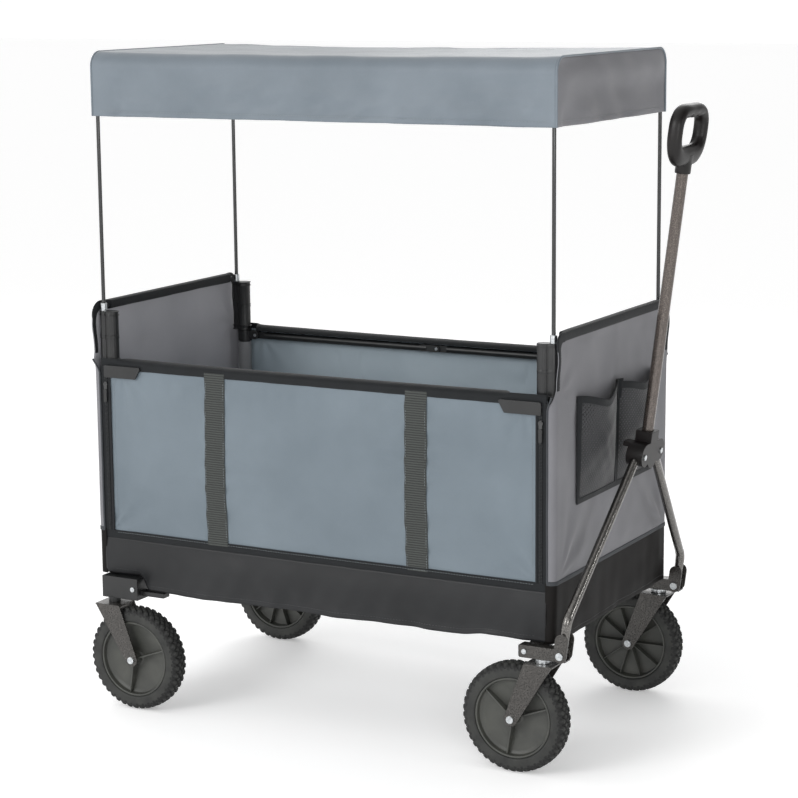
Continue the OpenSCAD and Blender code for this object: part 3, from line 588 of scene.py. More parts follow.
mat_cloth = oxford("dark_grey_mat_oxford", "#3c3e41", "#4c4f52", 1.6, 0.7, 0.2)
black_tape = ribbed_tape("black_binding_tape", "#0b0d0f", "#191c1f", 1.6, 0.35)
black_webbing = ribbed_tape("black_lift_webbing", "#1b1d1e", "#313436", 2.6, 0.6)


def sheet_grid(surface, across, up):
    """A surface's points on a grid: a column for each place across and a row for each height."""
    return surface(*np.meshgrid(across, up))


def normals_of(surface, a, b, outward=1):
    """Unit normals of a surface, from the cross product of its slopes over 0.5 mm each way."""
    step = 0.5
    along_a = surface(a + step, b) - surface(a - step, b)
    along_b = surface(a, b + step) - surface(a, b - step)
    normal = np.cross(along_a, along_b)
    return outward * normal / np.linalg.norm(normal, axis=-1, keepdims=True)


def band_on(surface, path, width, thick, lift, outward=1, square=0.45):
    """A tape laid on a surface: a flat oval, `width` by `thick`, carried along a path given in the
    surface's own two lengths, with its middle `lift` above the surface. All three may vary."""
    path = np.asarray(path, float)
    ahead = np.gradient(path, axis=0)
    ahead /= np.linalg.norm(ahead, axis=1, keepdims=True)
    beside = np.stack([-ahead[:, 1], ahead[:, 0]], 1)
    turn = np.linspace(0, 2 * np.pi, 20, endpoint=False)
    wide = np.sign(np.cos(turn)) * np.abs(np.cos(turn)) ** square / 2
    high = np.sign(np.sin(turn)) * np.abs(np.sin(turn)) ** square / 2
    high = high * np.broadcast_to(thick, len(path))[:, None]
    width = np.broadcast_to(width, len(path))[:, None]
    lift = np.broadcast_to(lift, len(path))[:, None]
    at = path[:, None] + beside[:, None] * (width * wide)[..., None]
    return (surface(at[..., 0], at[..., 1])
            + normals_of(surface, at[..., 0], at[..., 1], outward) * (lift + high)[..., None])


def stitches_on(surface, path, lift, outward=1, pitch=5.0, length=3.4, thick=0.9, across=False):
    """A row of stitches at even steps along a path on a surface: each a bead, round in section and
    full in the middle, that lies along the path, or across it."""
    path = np.asarray(path, float)
    run = np.append(0, np.cumsum(np.linalg.norm(np.diff(path, axis=0), axis=1)))
    steps = np.arange(pitch / 2, run[-1], pitch)
    a, b = (np.interp(steps, run, path[:, i]) for i in (0, 1))
    at = surface(a, b)
    up = normals_of(surface, a, b, outward)
    ahead = np.stack([np.interp(steps + 0.3, run, path[:, i]) - np.interp(steps - 0.3, run, path[:, i])
                      for i in (0, 1)], 1)
    way = surface(a + ahead[:, 0], b + ahead[:, 1]) - at
    way /= np.linalg.norm(way, axis=1, keepdims=True)
    side = np.cross(up, way)
    if across:
        way, side = side, way
    turn = np.linspace(0, 2 * np.pi, 6, endpoint=False)
    reach = np.array([-0.5, -0.38, 0, 0.38, 0.5])
    full = np.array([0.15, 0.8, 1, 0.8, 0.15])[:, None] * thick / 2
    bead = np.stack([np.broadcast_to(reach[:, None] * length, (5, 6)),
                     full * np.cos(turn), full * np.sin(turn)], 2)
    _, faces, flat = bar(bead)
    points = np.einsum("nkj,rck->nrcj", np.stack([way, side, up], 1), bead)
    points = (at + up * lift)[:, None, None] + points
    count = 5 * 6
    every = [[i + n * count for i in face] for n in range(len(at)) for face in faces]
    return points.reshape(-1, 3), every, np.tile(flat, (len(at), 1))


def mat_top(p, q):
    """The mat's upper face over -1..1 each way: rounded down within 9 mm of the edge, a low crown
    in each of three panels, and a groove along each of the two sewn lines."""
    rim = np.minimum((1 - np.abs(p)) * (mat_x1 - mat_x0) / 2, (1 - np.abs(q)) * mat_half)
    edge = np.sqrt(1 - (1 - np.clip(rim / 9, 0, 1)) ** 2)
    crown = 0.6 + 0.4 * np.abs(np.cos(1.5 * np.pi * q)) * (1 - p ** 4)
    sewn = sum(np.exp(-((q - line) * mat_half / 3.5) ** 2) for line in (-1 / 3, 1 / 3))
    return mat_low + (mat_high - mat_low) * edge * (0.55 + 0.45 * crown) - 2.2 * sewn * edge


for end, body in ((-1, "floor_rear"), (1, "floor_front")):
    place = np.sin(np.linspace(-np.pi / 2, np.pi / 2, 59))
    place = np.sort(np.concatenate([place, np.linspace(-0.97, 0.97, 42)]))
    p, q = np.meshgrid(place, place)
    middle, half = end * (mat_x0 + mat_x1) / 2, (mat_x1 - mat_x0) / 2
    over = np.stack([middle + p * half, q * mat_half, mat_top(p, q)], 2)
    under = np.stack([middle + p * half, q * mat_half, np.full_like(p, mat_low)], 2)
    under[1:-1, 1:-1, 2] -= 0.25
    skins = [shell(over), shell(under[:, ::-1])]
    mat = make_piece("mat_" + body, skins, mat_cloth, closed=False)
    work = bmesh.new()
    work.from_mesh(mat.data)
    bmesh.ops.remove_doubles(work, verts=work.verts, dist=2e-5)
    bmesh.ops.recalc_face_normals(work, faces=work.faces)
    work.to_mesh(mat.data)
    work.free()

    def mat_skin(x, y, middle=middle, half=half):
        return np.stack([x, y, mat_top((x - middle) / half, y / mat_half)], -1)

    run = np.linspace(middle - half + 7, middle + half - 7, 160)
    rows = [stitches_on(mat_skin, np.stack([run, np.full_like(run, line)], 1), 0.2)
            for line in (-mat_half / 3, mat_half / 3)]
    edge_box = (-half + 1.2, half - 1.2, -mat_half + 1.2, mat_half - 1.2)
    piping_turn = lobes([], [edge_box], np.zeros(2), 400, 1.2)
    around = np.concatenate([piping_turn, piping_turn[:1]]) + [middle, 0]
    cord = np.linspace(0, 2 * np.pi, 8, endpoint=False)
    out = piping_turn / np.linalg.norm(piping_turn, axis=1, keepdims=True)
    piping = np.stack([middle + piping_turn[:, None, 0] + 1.3 * np.cos(cord) * out[:, None, 0],
                       piping_turn[:, None, 1] + 1.3 * np.cos(cord) * out[:, None, 1],
                       np.broadcast_to(241.0 + 1.3 * np.sin(cord), (400, 8))], 2)
    trim = make_piece("mat_trim_" + body, rows + [shell(piping, around=True, along=True)], black_tape)
    for piece in (mat, trim):
        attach(piece, body)
    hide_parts("floor_board_rear" if end < 0 else "floor_board_front")
    if end > 0:
        loop = np.stack([np.linspace(13, 61, 40), np.zeros(40)], 1)
        lift_loop = make_piece("lift_loop", [bar(band_on(mat_skin, loop[first:], 24, 1.1, lift))
                                             for first, lift in ((0, 0.8), (4, 2.1))], black_webbing)
        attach(lift_loop, body)
        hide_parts("lift_strap")


# ---------- side walls ----------
# Coated polyester, sewn at the foot to the tub's lower band and turned over the rails at the
# top in a bound hem. Two ribbed webbing straps are sewn flat down each side and pucker the
# cloth beside them, and the pinned lower corners pull in fans of small folds.

wall_y, wall_end, wall_top, foot_binding_z = 242.2, 446.0, 640.6, 314.2
strap_x, strap_wide = 202.0, 42.0


def hem_row(skin, line, outward):
    """One row of a hem's thin stitches, 5.6 mm apart."""
    return stitches_on(skin, line, 0.8, outward, pitch=5.6, thick=0.8)


def crumple(u, v, seed, longest, shortest, height):
    """The slow waviness of hung cloth: 14 sine waves in seeded directions, each as high as its
    length is long beside the longest."""
    rng = np.random.default_rng(seed)
    total = np.zeros(np.broadcast(u, v).shape)
    for length in np.geomspace(longest, shortest, 14):
        turn, phase = rng.uniform(0, 2 * np.pi, 2)
        along = 2 * np.pi * (u * np.cos(turn) + v * np.sin(turn)) / length
        total += height * length / longest * np.sin(along + phase)
    return total / 2


def fan(u, v, corner, heading, spread, reach, folds, height):
    """Folds that fan out from a pinned corner: a sine round the corner, full near `heading`, that
    rises over a few millimetres and dies away past `reach`."""
    du, dv = u - corner[0], v - corner[1]
    away = np.hypot(du, dv)
    turn = (np.arctan2(dv, du) - heading + np.pi) % (2 * np.pi) - np.pi
    wave = np.sin(folds * 2 * np.pi * turn / spread) * np.exp(-(turn / spread) ** 2)
    return height * wave * (away / reach) * np.exp(1 - 1.6 * away / reach) * 1.6


def wall_belly(x, z, side):
    """How far a side wall stands out: a shallow belly between seam and hem, slow waves, puckers a
    few fingers apart beside each strap, and fans of folds at the pinned corners."""
    up = np.clip((z - 306) / 334, 0, 1)
    free = smooth(z, 312, 335) * (1 - smooth(z, 596, 622)) * (1 - smooth(np.abs(x), 415, 440))
    belly = 4.2 * np.sin(np.pi * up) * (1 - (x / wall_end) ** 4)
    waves = crumple(x, z, 11 + side, 300, 46, 1.5)
    pucker = 0.0
    for k in (-1, 1):
        beside = np.abs(x - k * strap_x) - strap_wide / 2
        outside = np.clip(beside / 4, 0, 1)
        ripple = np.sin(2 * np.pi * z / 47 + 1.7 * np.sin(z / 31 + 2 * k))
        pucker = pucker + 1.5 * outside * np.exp(-np.abs(beside) / 34) * ripple
    pulls = 0.0
    for k in (-1, 1):
        pulls = pulls + fan(x, z, (k * 436, 318), math.pi / 2 + k * 0.85, 0.9, 75, 1.5, 2.0)
        pulls = pulls + fan(x, z, (k * 400, 618), -math.pi / 2 - k * 0.2, 0.9, 60, 1.2, 1.5)
    hem = 0.9 * np.sin(2 * np.pi * x / 31 + 2 * np.sin(x / 77)) * smooth(z, 560, 610)
    return belly + free * (waves + pucker + pulls + 0.5 * hem)


def side_wall(side):
    """The wall's skin over (x, z), on the left or right side."""
    return lambda x, z: np.stack([x, side * (wall_y + wall_belly(x, z, side)), z], -1)


def add_cloth(name, shells, finish, thick, lining=None):
    """A sheet of cloth with real thickness: an open skin, thickened about its middle, with the
    lining's finish on its inner face."""
    piece = make_piece(name, shells, finish, closed=False, sharp=70)
    grown = piece.modifiers.new("cloth_thickness", "SOLIDIFY")
    grown.thickness, grown.offset = thick / 1000, 0
    if lining:
        piece.data.materials.append(lining)
        grown.material_offset = 1
    return piece


def crumples_with_fold(piece, ride="rear_frame"):
    """Cloth that spans the folding frame: it rides on `ride`, on a mesh of its own."""
    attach(piece, ride)
    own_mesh(piece)


side_cloth = oxford("blue_grey_side_oxford", "#5f6a72", "#707b83", 1.9, 0.6, 0.25)
# the inner face is the same cloth painted much lighter: painted light inside the tub
inner_side_painted_light = oxford("pale_blue_inner_face_painted_light", "#919ea7", "#a6b3bb", 1.9, 0.6, 0.3)
olive_webbing = ribbed_tape("ribbed_olive_webbing", "#282a29", "#444745", 4.2, 0.9)
grey_thread = start_finish("grey_polyester_thread", {"Base Color": linear("#6f7679"), "Roughness": 0.6,
                                                     "Sheen Weight": 0.3})[0]
dark_thread = start_finish("dark_polyester_thread", {"Base Color": linear("#2a2c2e"), "Roughness": 0.6,
                                                     "Sheen Weight": 0.3})[0]

for side in (-1, 1):
    hand = "left" if side > 0 else "right"
    wall, outward = side_wall(side), -side
    across = np.linspace(-wall_end, wall_end, 280)
    up = np.linspace(307, 630.5, 104)
    skin = sheet_grid(wall, across[::-side], up)
    panel = add_cloth("side_panel_" + hand, [shell(skin)], side_cloth, 1.2, inner_side_painted_light)

    # the top hem: up the outside, over the rail and down inside, narrow beside the posts
    over_rail = (1 - smooth(across, 362, 379)) * (1 - smooth(-across, 396, 414))
    inner_y = 240.8 - 27.6 * over_rail
    outer_y = wall_y + 2.0
    leaf = np.concatenate([np.linspace(-1, 0, 8)[:-1], np.linspace(0, 1, 22)])
    half_turn = np.clip(leaf, 0, 1)[:, None] * np.pi
    hem_y = (outer_y + inner_y) / 2 + (outer_y - inner_y) / 2 * np.cos(half_turn)
    sag = 2.6 * (1 - (across / wall_end) ** 2)
    hem_z = 630.5 + (wall_top - 630.5 - sag) * np.sin(half_turn) + 9.0 * np.minimum(leaf, 0)[:, None]
    ripple = 0.5 * np.sin(across / 17 + side) + 0.35 * np.sin(across / 7.3)
    hem_y = hem_y + np.where(leaf[:, None] < 0.4, ripple, 0) * over_rail
    hem = np.stack([np.broadcast_to(across, hem_y.shape), side * hem_y, hem_z], 2)
    hem_piece = add_cloth("top_hem_" + hand, [shell(hem[:, ::-side])], black_tape, 1.4)

    foot = np.stack([across, np.full_like(across, foot_binding_z)], 1)
    foot_band = make_piece("foot_binding_" + hand, [
        bar(band_on(wall, foot, 15.0, 1.6, 1.5, outward)),
        bar(band_on(wall, foot + [0, 7.0], 2.4, 2.4, 1.6, outward, 0.9))], black_tape)

    run = np.linspace(316, 630, 280)
    sewn = [0.75 * np.sin(2 * np.pi * run / 50 + 1.1 * k) + 0.3 * np.sin(2 * np.pi * run / 23)
            for k in (-1, 1)]
    straps = make_piece("webbing_straps_" + hand, [
        bar(band_on(wall, np.stack([np.full_like(run, k * strap_x), run], 1), strap_wide,
                    1.5, 2.0 + wave, outward, 0.3))
        for k, wave in zip((-1, 1), sewn)], olive_webbing)

    seams = []
    for k, wave in zip((-1, 1), sewn):
        for edge in (-1, 1):
            seam_x = k * strap_x + edge * (strap_wide / 2 - 2.6)
            line = np.stack([np.full_like(run, seam_x), run], 1)[5:-17]
            seams.append(stitches_on(wall, line, 2.5 + 0.2, outward, pitch=5.2))
        line = np.stack([np.full_like(run, k * 419.5), run], 1)[8:-28]
        seams.append(stitches_on(wall, line, 0.8, outward, pitch=5.2, thick=0.8))
    seams.append(stitches_on(wall, foot[8:-8] + [0, 4.4], 2.6, outward, pitch=5.2, thick=0.8))
    seam_threads = make_piece("wall_stitching_" + hand, seams, grey_thread, closed=False)

    for piece, slot in ((panel, "side_cloth"), (hem_piece, "binding"), (foot_band, "binding"),
                        (straps, "webbing"), (seam_threads, "webbing")):
        crumples_with_fold(piece)
    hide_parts("side_panels")
    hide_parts("panel_bindings")
    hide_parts("panel_bindings")
    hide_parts("side_straps")


# ---------- lower band ----------
# The tub's lower skirt on all four sides is a darker, smoother coated cloth; across the ends it takes a
# darker copy of that cloth, as painted shade. It is sewn to the walls above it and hangs free below, cut
# short over the rear corner blocks.

skirt_cloth = oxford("charcoal_skirt_oxford", "#131416", "#1e1f21", 1.7, 0.42, 0.02, weave=0.25)
# the end skirts' copy of the skirt cloth, painted darker: painted shade on the ends
shaded_end_skirt_cloth = oxford("brown_black_skirt_oxford_painted_shade", "#0b0908", "#141110", 1.7, 0.6, 0.0, weave=0.25,
                         shine=0.16)
skirt_top, skirt_y = 307.5, 244.1


def skirt_foot(x):
    """Height of a side skirt's lower edge: 214.5 mm, a little higher over the front brackets and
    well above the corner blocks at the rear."""
    return 214.5 + 6.5 * smooth(x, 284, 332) + 26.5 * (1 - smooth(x, -376, -352))


def side_skirt(side):
    """A skirt's skin over (x, z): it hangs from the seam, puffed out a little below it, in long
    flutes that grow towards its foot."""
    def skin(x, z):
        down = np.clip((skirt_top - z) / 90, 0, 1)
        free = 1 - smooth(np.abs(x), 405, 438)
        flutes = 2.2 * np.sin(x / 46 + 0.8 * np.sin(x / 97)) + crumple(x, z, 31 + side, 220, 36, 3.4)
        pillow = 3.6 * np.sin(np.pi * np.clip(down * 1.15, 0, 1)) ** 1.3
        return np.stack([x, side * (skirt_y + pillow + free * flutes * down ** 0.8), z], -1)
    return skin


def end_plan(s, return_y=246.2):
    """Plan of an end wall by its length s from the middle: flat across the frame, then round each
    corner on an 11 mm arc, then straight back along the side."""
    flat, bend = 235.2, 11.0
    turn = np.clip((np.abs(s) - flat) / bend, 0, np.pi / 2)
    back = np.maximum(np.abs(s) - flat - bend * np.pi / 2, 0)
    x = 450.2 + bend * np.cos(turn) - back
    y = np.minimum(np.abs(s), flat) + (return_y - flat) * np.sin(turn)
    return x, np.sign(s) * y


def end_skirt(end):
    """The skirt across an end, over (s, z)."""
    def skin(s, z):
        x, y = end_plan(s)
        down = np.clip((322 - z) / 100, 0, 1)
        wave = crumple(s, z, 41 + end, 240, 40, 1.7) * (1 - smooth(np.abs(s), 205, 232)) * (0.3 + down)
        return np.stack([end * (x + wave - 0.4), y, z], -1)
    return skin


for side in (-1, 1):
    hand = "left" if side > 0 else "right"
    skin = side_skirt(side)
    across = np.linspace(-446, 446, 250)
    share = np.linspace(0, 1, 26)[:, None]
    low = skirt_foot(across)[None]
    grid = skin(np.broadcast_to(across, (26, 250)), low + share * (skirt_top - low))
    skirt = add_cloth("side_skirt_" + hand, [shell(grid[:, ::-side])], skirt_cloth, 1.2)
    hem_line = np.stack([across, skirt_foot(across) + 9], 1)[6:-6]
    hem_sewn = make_piece("side_skirt_stitching_" + hand, [hem_row(skin, hem_line, -side)],
                          dark_thread, closed=False)
    for piece in (skirt, hem_sewn):
        crumples_with_fold(piece)
    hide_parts("side_skirts")

end_skirt_reach, end_skirt_top = 258, 323.5
for end, body, low in ((-1, "rear_frame", 239.5), (1, "front_frame", 219.8)):
    skin = end_skirt(end)
    around = np.linspace(-end_skirt_reach, end_skirt_reach, 250)
    grid = sheet_grid(skin, around, np.linspace(low, end_skirt_top, 24))
    skirt = add_cloth("end_skirt_" + body, [shell(grid[:, ::end])], shaded_end_skirt_cloth, 1.2)
    sewn = np.stack([around[8:-8], np.full(234, low + 9)], 1)
    stitched = make_piece("end_skirt_stitching_" + body, [hem_row(skin, sewn, end)], dark_thread,
                          closed=False)
    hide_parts("rear_skirt" if end < 0 else "front_skirt")
    for piece in (skirt, stitched):
        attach(piece, body)


# ---------- end walls ----------
# Warm grey polyester, double and stiffened, stretched over the end frame. It wraps the posts
# up to the side rails, and above them stands free as a flap bound in black tape over the top rod.

end_cloth = oxford("warm_grey_end_oxford", "#66666a", "#7a7a7e", 1.9, 0.62, 0.2)
# the inner face is the same cloth painted much lighter: painted light inside the tub
inner_end_painted_light = oxford("pale_grey_inner_face_painted_light", "#a2a2a7", "#b6b6bb", 1.9, 0.62, 0.2)
flap_half, flap_top, flap_corner = 241.0, 739.4, 22.0


def end_wall(end):
    """The wall's skin over (s, z): the wrapped plan below the rails turns flat above them, with a
    shallow belly, slow waves, and a flap whose corners curl a few millimetres outwards."""
    def skin(s, z):
        x, y = end_plan(s)
        flat = smooth(z, 612, 655)
        x = x + flat * (461.2 - x)
        y = y + flat * (s - y)
        inside = 1 - smooth(np.abs(s), 195, 228)
        held = smooth(z, 322, 350) * (1 - smooth(z, 712, 728))
        waves = crumple(s, z, 51 + end, 260, 42, 1.5) * held * (0.25 + 0.75 * inside) * 0.8
        curl = 4.0 * flat * (np.abs(s) / flap_half) ** 6 * np.exp(-((z - 700) / 26) ** 2)
        pull = sum(fan(s, z, (k * 232, 328), math.pi / 2 + k * 0.8, 0.9, 80, 1.6, 1.7) for k in (-1, 1))
        pull = pull + sum(fan(s, z, (k * 236, 640), math.pi / 2 + k * 1.3, 1.0, 60, 1.2, 1.3)
                          for k in (-1, 1))
        return np.stack([end * (x + waves + curl + pull * inside), y, z], -1)
    return skin


def flap_edge(inset, count=220):
    """The flap's free edge as (s, z), `inset` inside it: up one side, round a corner of 22 mm,
    across the top and down the other side."""
    reach, top, corner = flap_half - inset, flap_top - inset, flap_corner - inset
    turn = np.linspace(0, np.pi / 2, 14)
    right = np.stack([reach - corner + corner * np.cos(turn), top - corner + corner * np.sin(turn)], 1)
    up = np.stack([np.full(30, reach), np.linspace(648, top - corner, 30)], 1)[:-1]
    half = np.concatenate([up, right])
    whole = np.concatenate([half, half[::-1] * [-1, 1]])
    run = np.append(0, np.cumsum(np.linalg.norm(np.diff(whole, axis=0), axis=1)))
    even = np.linspace(0, run[-1], count)
    return np.stack([np.interp(even, run, whole[:, i]) for i in (0, 1)], 1)


piping_tape = ribbed_tape("dark_grey_piping_tape", "#2a2c2f", "#43464a", 1.5, 0.3)
# the height of the end walls' foot, and half their width below the flap
end_foot, end_half = 322.6, 256.2

for end, body in ((-1, "rear_frame"), (1, "front_frame")):
    skin = end_wall(end)
    heights = np.concatenate([np.linspace(end_foot, 716, 110),
                              717.4 + 22 * np.sin(np.linspace(0.05, np.pi / 2, 14))])
    share = np.linspace(-1, 1, 240)
    half = end_half + (flap_half - end_half) * smooth(heights, 612, 655)
    into_corner = np.clip(heights - (flap_top - flap_corner), 0, 21.95)
    half = half - flap_corner + np.sqrt(flap_corner ** 2 - into_corner ** 2)
    grid = skin(share[None] * half[:, None], np.broadcast_to(heights[:, None], (len(heights), 240)))
    wall = add_cloth("end_wall_" + body, [shell(grid[:, ::end])], end_cloth, 1.4, inner_end_painted_light)
    edge_line = flap_edge(0.5, 400)
    side_width = 9 + 7.5 * smooth(edge_line[:, 1], flap_top - 30, flap_top - 8)
    inset_line = flap_edge(5.0, 400)
    # along the top the tape is rolled round the rod
    rolled = 1 - smooth(np.abs(inset_line[:, 0]), 203, 214)
    bound = make_piece("end_wall_binding_" + body, [
        bar(band_on(skin, inset_line, side_width, 3.8 + 11.6 * rolled, -5.8 * rolled, end))], black_tape)
    welts = []
    for k in (-1, 1):
        line = np.stack([np.full(120, k * 255.0), np.linspace(323, 640, 120)], 1)
        welts.append(bar(band_on(skin, line, 3.6, 3.4, 0.6, end, 0.95)))
    welts.append(bar(band_on(skin, np.stack([np.linspace(-256, 256, 200), np.full(200, 323.0)], 1),
                             7.0, 2.4, 0.8, end)))
    welt = make_piece("corner_piping_" + body, welts, piping_tape)
    rows = [stitches_on(skin, flap_edge(10.6, 400), 0.9, end, pitch=5.4, thick=0.8)]
    thread = make_piece("end_wall_stitching_" + body, rows, dark_thread, closed=False)
    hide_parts("rear_end_panel" if end < 0 else "front_end_panel")
    for piece in (wall, bound, welt, thread):
        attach(piece, body)


# ---------- mesh pockets ----------
# A double pocket on each end wall: knitted polyester mesh, bound in black tape and sewn down at
# its sides, its foot and a divider, so that each half stands out as a shallow bag.

pocket_half, pocket_foot = 164.0, 443.0


def pocket_mouth(y):
    """Height of the pocket's mouth: it dips in the middle of each half and rises at the divider."""
    return 611.0 + 14.0 * np.abs(np.cos(np.pi * y / pocket_half)) ** 1.6 + 1.5 * np.sin(y / 40)


def pocket_skin(end):
    """The pocket over (y, share of its height): it stands out in a round bag in each half, more
    towards the mouth, and is drawn in along its sewn edges."""
    def skin(y, z):
        rise = np.clip((z - pocket_foot) / (pocket_mouth(y) - pocket_foot), 0, 1)
        bag = np.abs(np.sin(np.pi * np.clip(y / pocket_half, -1, 1))) ** 0.75
        out = 22.0 * bag * (1 - (1 - rise) ** 2.2) * (0.78 + 0.22 * rise)
        out = out + 1.4 * crumple(y, z, 61 + end, 120, 26, 1.0) * bag * np.clip(4 * rise, 0, 1)
        return np.stack([end * (463.6 + out), y, z], -1)
    return skin


mesh_net, tree, shader = start_finish("knitted_black_mesh", {"Roughness": 0.6, "Sheen Weight": 0.2})
flat = add_node(tree, "ShaderNodeUVMap", uv_map="flat").outputs["UV"]
# knots 2 mm apart on the real net, drawn 2.8 mm apart
net_pitch = 4.0
mirrored = add_node(tree, "ShaderNodeVectorMath", {0: flat, 1: (-1, 1, 1)}, operation="MULTIPLY")
threads = [add_node(tree, "ShaderNodeTexWave", {"Vector": way, "Scale": waves_per_metre / net_pitch},
                    bands_direction="DIAGONAL").outputs["Fac"]
           for way in (flat, mirrored.outputs["Vector"])]
net = add_node(tree, "ShaderNodeMath", {0: threads[0], 1: threads[1]}, operation="MAXIMUM").outputs[0]
holes = add_node(tree, "ShaderNodeValToRGB", {"Fac": net}, stops=[(0.28, "#000000"), (0.42, "#ffffff")])
tree.links.new(holes.outputs["Color"], shader.inputs["Alpha"])
# each thread's colour follows its height: a painted highlight along its middle and painted shade at its
# edges
tone_and_bump(tree, shader, net, [(0.45, "#0e0f11"), (1.0, "#26272b")], net, 0.5, 0.0006)

for end, body in ((-1, "rear_frame"), (1, "front_frame")):
    skin = pocket_skin(end)
    across = np.linspace(-pocket_half, pocket_half, 180)
    share = np.linspace(0, 1, 64)[:, None]
    grid = skin(np.broadcast_to(across, (64, 180)),
                pocket_foot + share * (pocket_mouth(across)[None] - pocket_foot))
    net_piece = add_cloth("mesh_pocket_" + body, [shell(grid[:, ::end])], mesh_net, 0.8)
    mouth = np.stack([across, pocket_mouth(across) - 4.5], 1)
    tapes = [bar(band_on(skin, mouth, 12.5, 2.4, 0.2, end))]
    for y, width in ((-pocket_half + 3.5, 9.5), (pocket_half - 3.5, 9.5), (0.0, 12.0)):
        top = float(pocket_mouth(np.array(y))) + (1.0 if y else 4.0)
        line = np.stack([np.full(80, y), np.linspace(pocket_foot, top, 80)], 1)
        tapes.append(bar(band_on(skin, line, width, 1.8, 0.9, end)))
    foot = np.stack([across, np.full(180, pocket_foot + 4.0)], 1)
    tapes.append(bar(band_on(skin, foot, 10.0, 1.8, 0.9, end)))
    # the tab at the head of the divider widens upwards
    tab = np.stack([np.zeros(24), np.linspace(598, 632, 24)], 1)
    tab_width = 14 + 12 * np.linspace(0, 1, 24) ** 0.7
    tapes.append(bar(band_on(skin, tab, tab_width, 2.0, 2.0, end)))
    binding = make_piece("pocket_binding_" + body, tapes, black_tape)
    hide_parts("rear_pockets" if end < 0 else "front_pockets")
    for piece in (net_piece, binding):
        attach(piece, body)


# ---------- corner zips and post sleeves ----------
# Coil zips join side and end walls: a black tape with a row of nylon teeth, a zinc slider and
# a corded pull. Inside, a grey cloth sleeve holds each wall to its post.

gloss_black, tree, shader = start_finish("gloss_black_paint", {
    "Base Color": linear("#18191a"), "Roughness": 0.26, "Coat Weight": 0.6, "Coat Roughness": 0.08})
where = add_node(tree, "ShaderNodeTexCoord").outputs["Object"]
runs = add_node(tree, "ShaderNodeTexNoise", {"Vector": where, "Scale": 60.0, "Detail": 2.0})
tone = add_node(tree, "ShaderNodeValToRGB", {"Fac": runs.outputs["Fac"]},
                stops=[(0.35, "#141516"), (0.7, "#1f2122")])
tree.links.new(tone.outputs["Color"], shader.inputs["Base Color"])
sleeve_cloth = oxford("light_grey_sleeve_oxford", "#7d7e80", "#909193", 1.9, 0.7, 0.2)
nylon_coil = start_finish("black_nylon_coil", {"Base Color": linear("#1c1e20"), "Roughness": 0.35})[0]
# where a zip runs along x, y and z, and where its slider stands
zip_x, zip_y, zip_low, zip_high = 435.5, 244.6, 322, 626
slider_y, slider_z = 245.4, 590.0

for end, body in ((-1, "rear_frame"), (1, "front_frame")):
    tapes, teeth, sliders, pulls, sleeves = [], [], [], [], []
    for side in (-1, 1):
        def zip_ground(x, z, side=side):
            return np.stack([x, np.full_like(x, side * zip_y), z], -1)
        line = np.stack([np.full(90, end * zip_x), np.linspace(zip_low, zip_high, 90)], 1)
        # the wide tape, then a raised welt beside it towards the middle of the side
        tapes.append(bar(band_on(zip_ground, line + [end * 1.5, 0], 22.0, 1.2, 0.3, -side)))
        tapes.append(bar(band_on(zip_ground, line - [end * 7.6, 0], 4.2, 2.2, 0.8, -side)))
        for k in (-1, 1):
            coil = line + [k * 1.5, 0]
            teeth.append(stitches_on(zip_ground, coil, 1.5, -side, pitch=2.4, length=4.0,
                                     thick=1.9, across=True))
        at = (end * zip_x, side * slider_y, slider_z)
        facing = ((1, 0, 0), (0, 0, 1), (0, side, 0))
        body_line = lobes([(0, 4, 4.6), (0, -4, 3.6)], [(-3.4, 3.4, -5, 5)], np.zeros(2), 72)
        sliders.append(bar(moulding(body_line, 0.2, 3.2, 0.9, at, facing)))
        pull_line = lobes([(0, -9, 4.2), (0, -27, 3.2)], [(-3.4, 3.4, -27, -9)],
                          np.array([0.0, -18.0]), 96)
        pulls.append(bar(moulding(pull_line, 2.6, 4.4, 0.7, at, facing)))
        turn = np.linspace(0, 2 * np.pi, 36, endpoint=False)[None]
        rise = np.linspace(300, 606, 90)[:, None]
        radius = 12.4 + 0.35 * np.sin(3 * turn + rise / 21)
        radius = radius + 0.4 * np.sin(rise / 9.5 + 2 * np.sin(turn + side))
        sleeves.append(shell(np.stack([
            end * post_x + radius * np.cos(turn), side * post_y + radius * np.sin(turn),
            np.broadcast_to(rise, radius.shape)], 2), around=True))
    pieces = [make_piece("zip_tapes_" + body, tapes, black_tape),
              make_piece("zip_teeth_" + body, teeth, nylon_coil),
              make_piece("zip_sliders_" + body, sliders, gloss_black),
              make_piece("zip_pulls_" + body, pulls, black_nylon)]
    sleeve = make_piece("post_sleeves_" + body, sleeves, sleeve_cloth, closed=False)
    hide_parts("rear_corner_zips" if end < 0 else "front_corner_zips")
    slots = ("binding", "black_plastic", "zinc_steel", "black_plastic", "end_cloth")
    for piece, slot in zip(pieces + [sleeve], slots):
        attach(piece, body)


# ---------- handle joint and grip ----------
# The joint block and the closed grip are moulded in brown-black nylon with a soft grain. The
# block clamps the two yoke tubes and the upper tube between its ribs; the grip caps that tube.

pivot_x, pivot_z, handle_lean = 480.0, 206.75, math.radians(7.4)
grip_plastic, tree, shader = start_finish("moulded_brown_black_nylon", {
    "Roughness": 0.4, "Specular IOR Level": 0.35})
where = add_node(tree, "ShaderNodeTexCoord").outputs["Object"]
grain = add_node(tree, "ShaderNodeTexNoise", {"Vector": where, "Scale": 900.0, "Detail": 2.0})
haze = add_node(tree, "ShaderNodeTexNoise", {"Vector": where, "Scale": 26.0, "Detail": 4.0})
tone_and_bump(tree, shader, haze.outputs["Fac"], [(0.35, "#0b0807"), (0.7, "#151010")],
              grain.outputs["Fac"], 0.25, 0.0002, edge=0.002)
wear(grip_plastic, "handle_block")


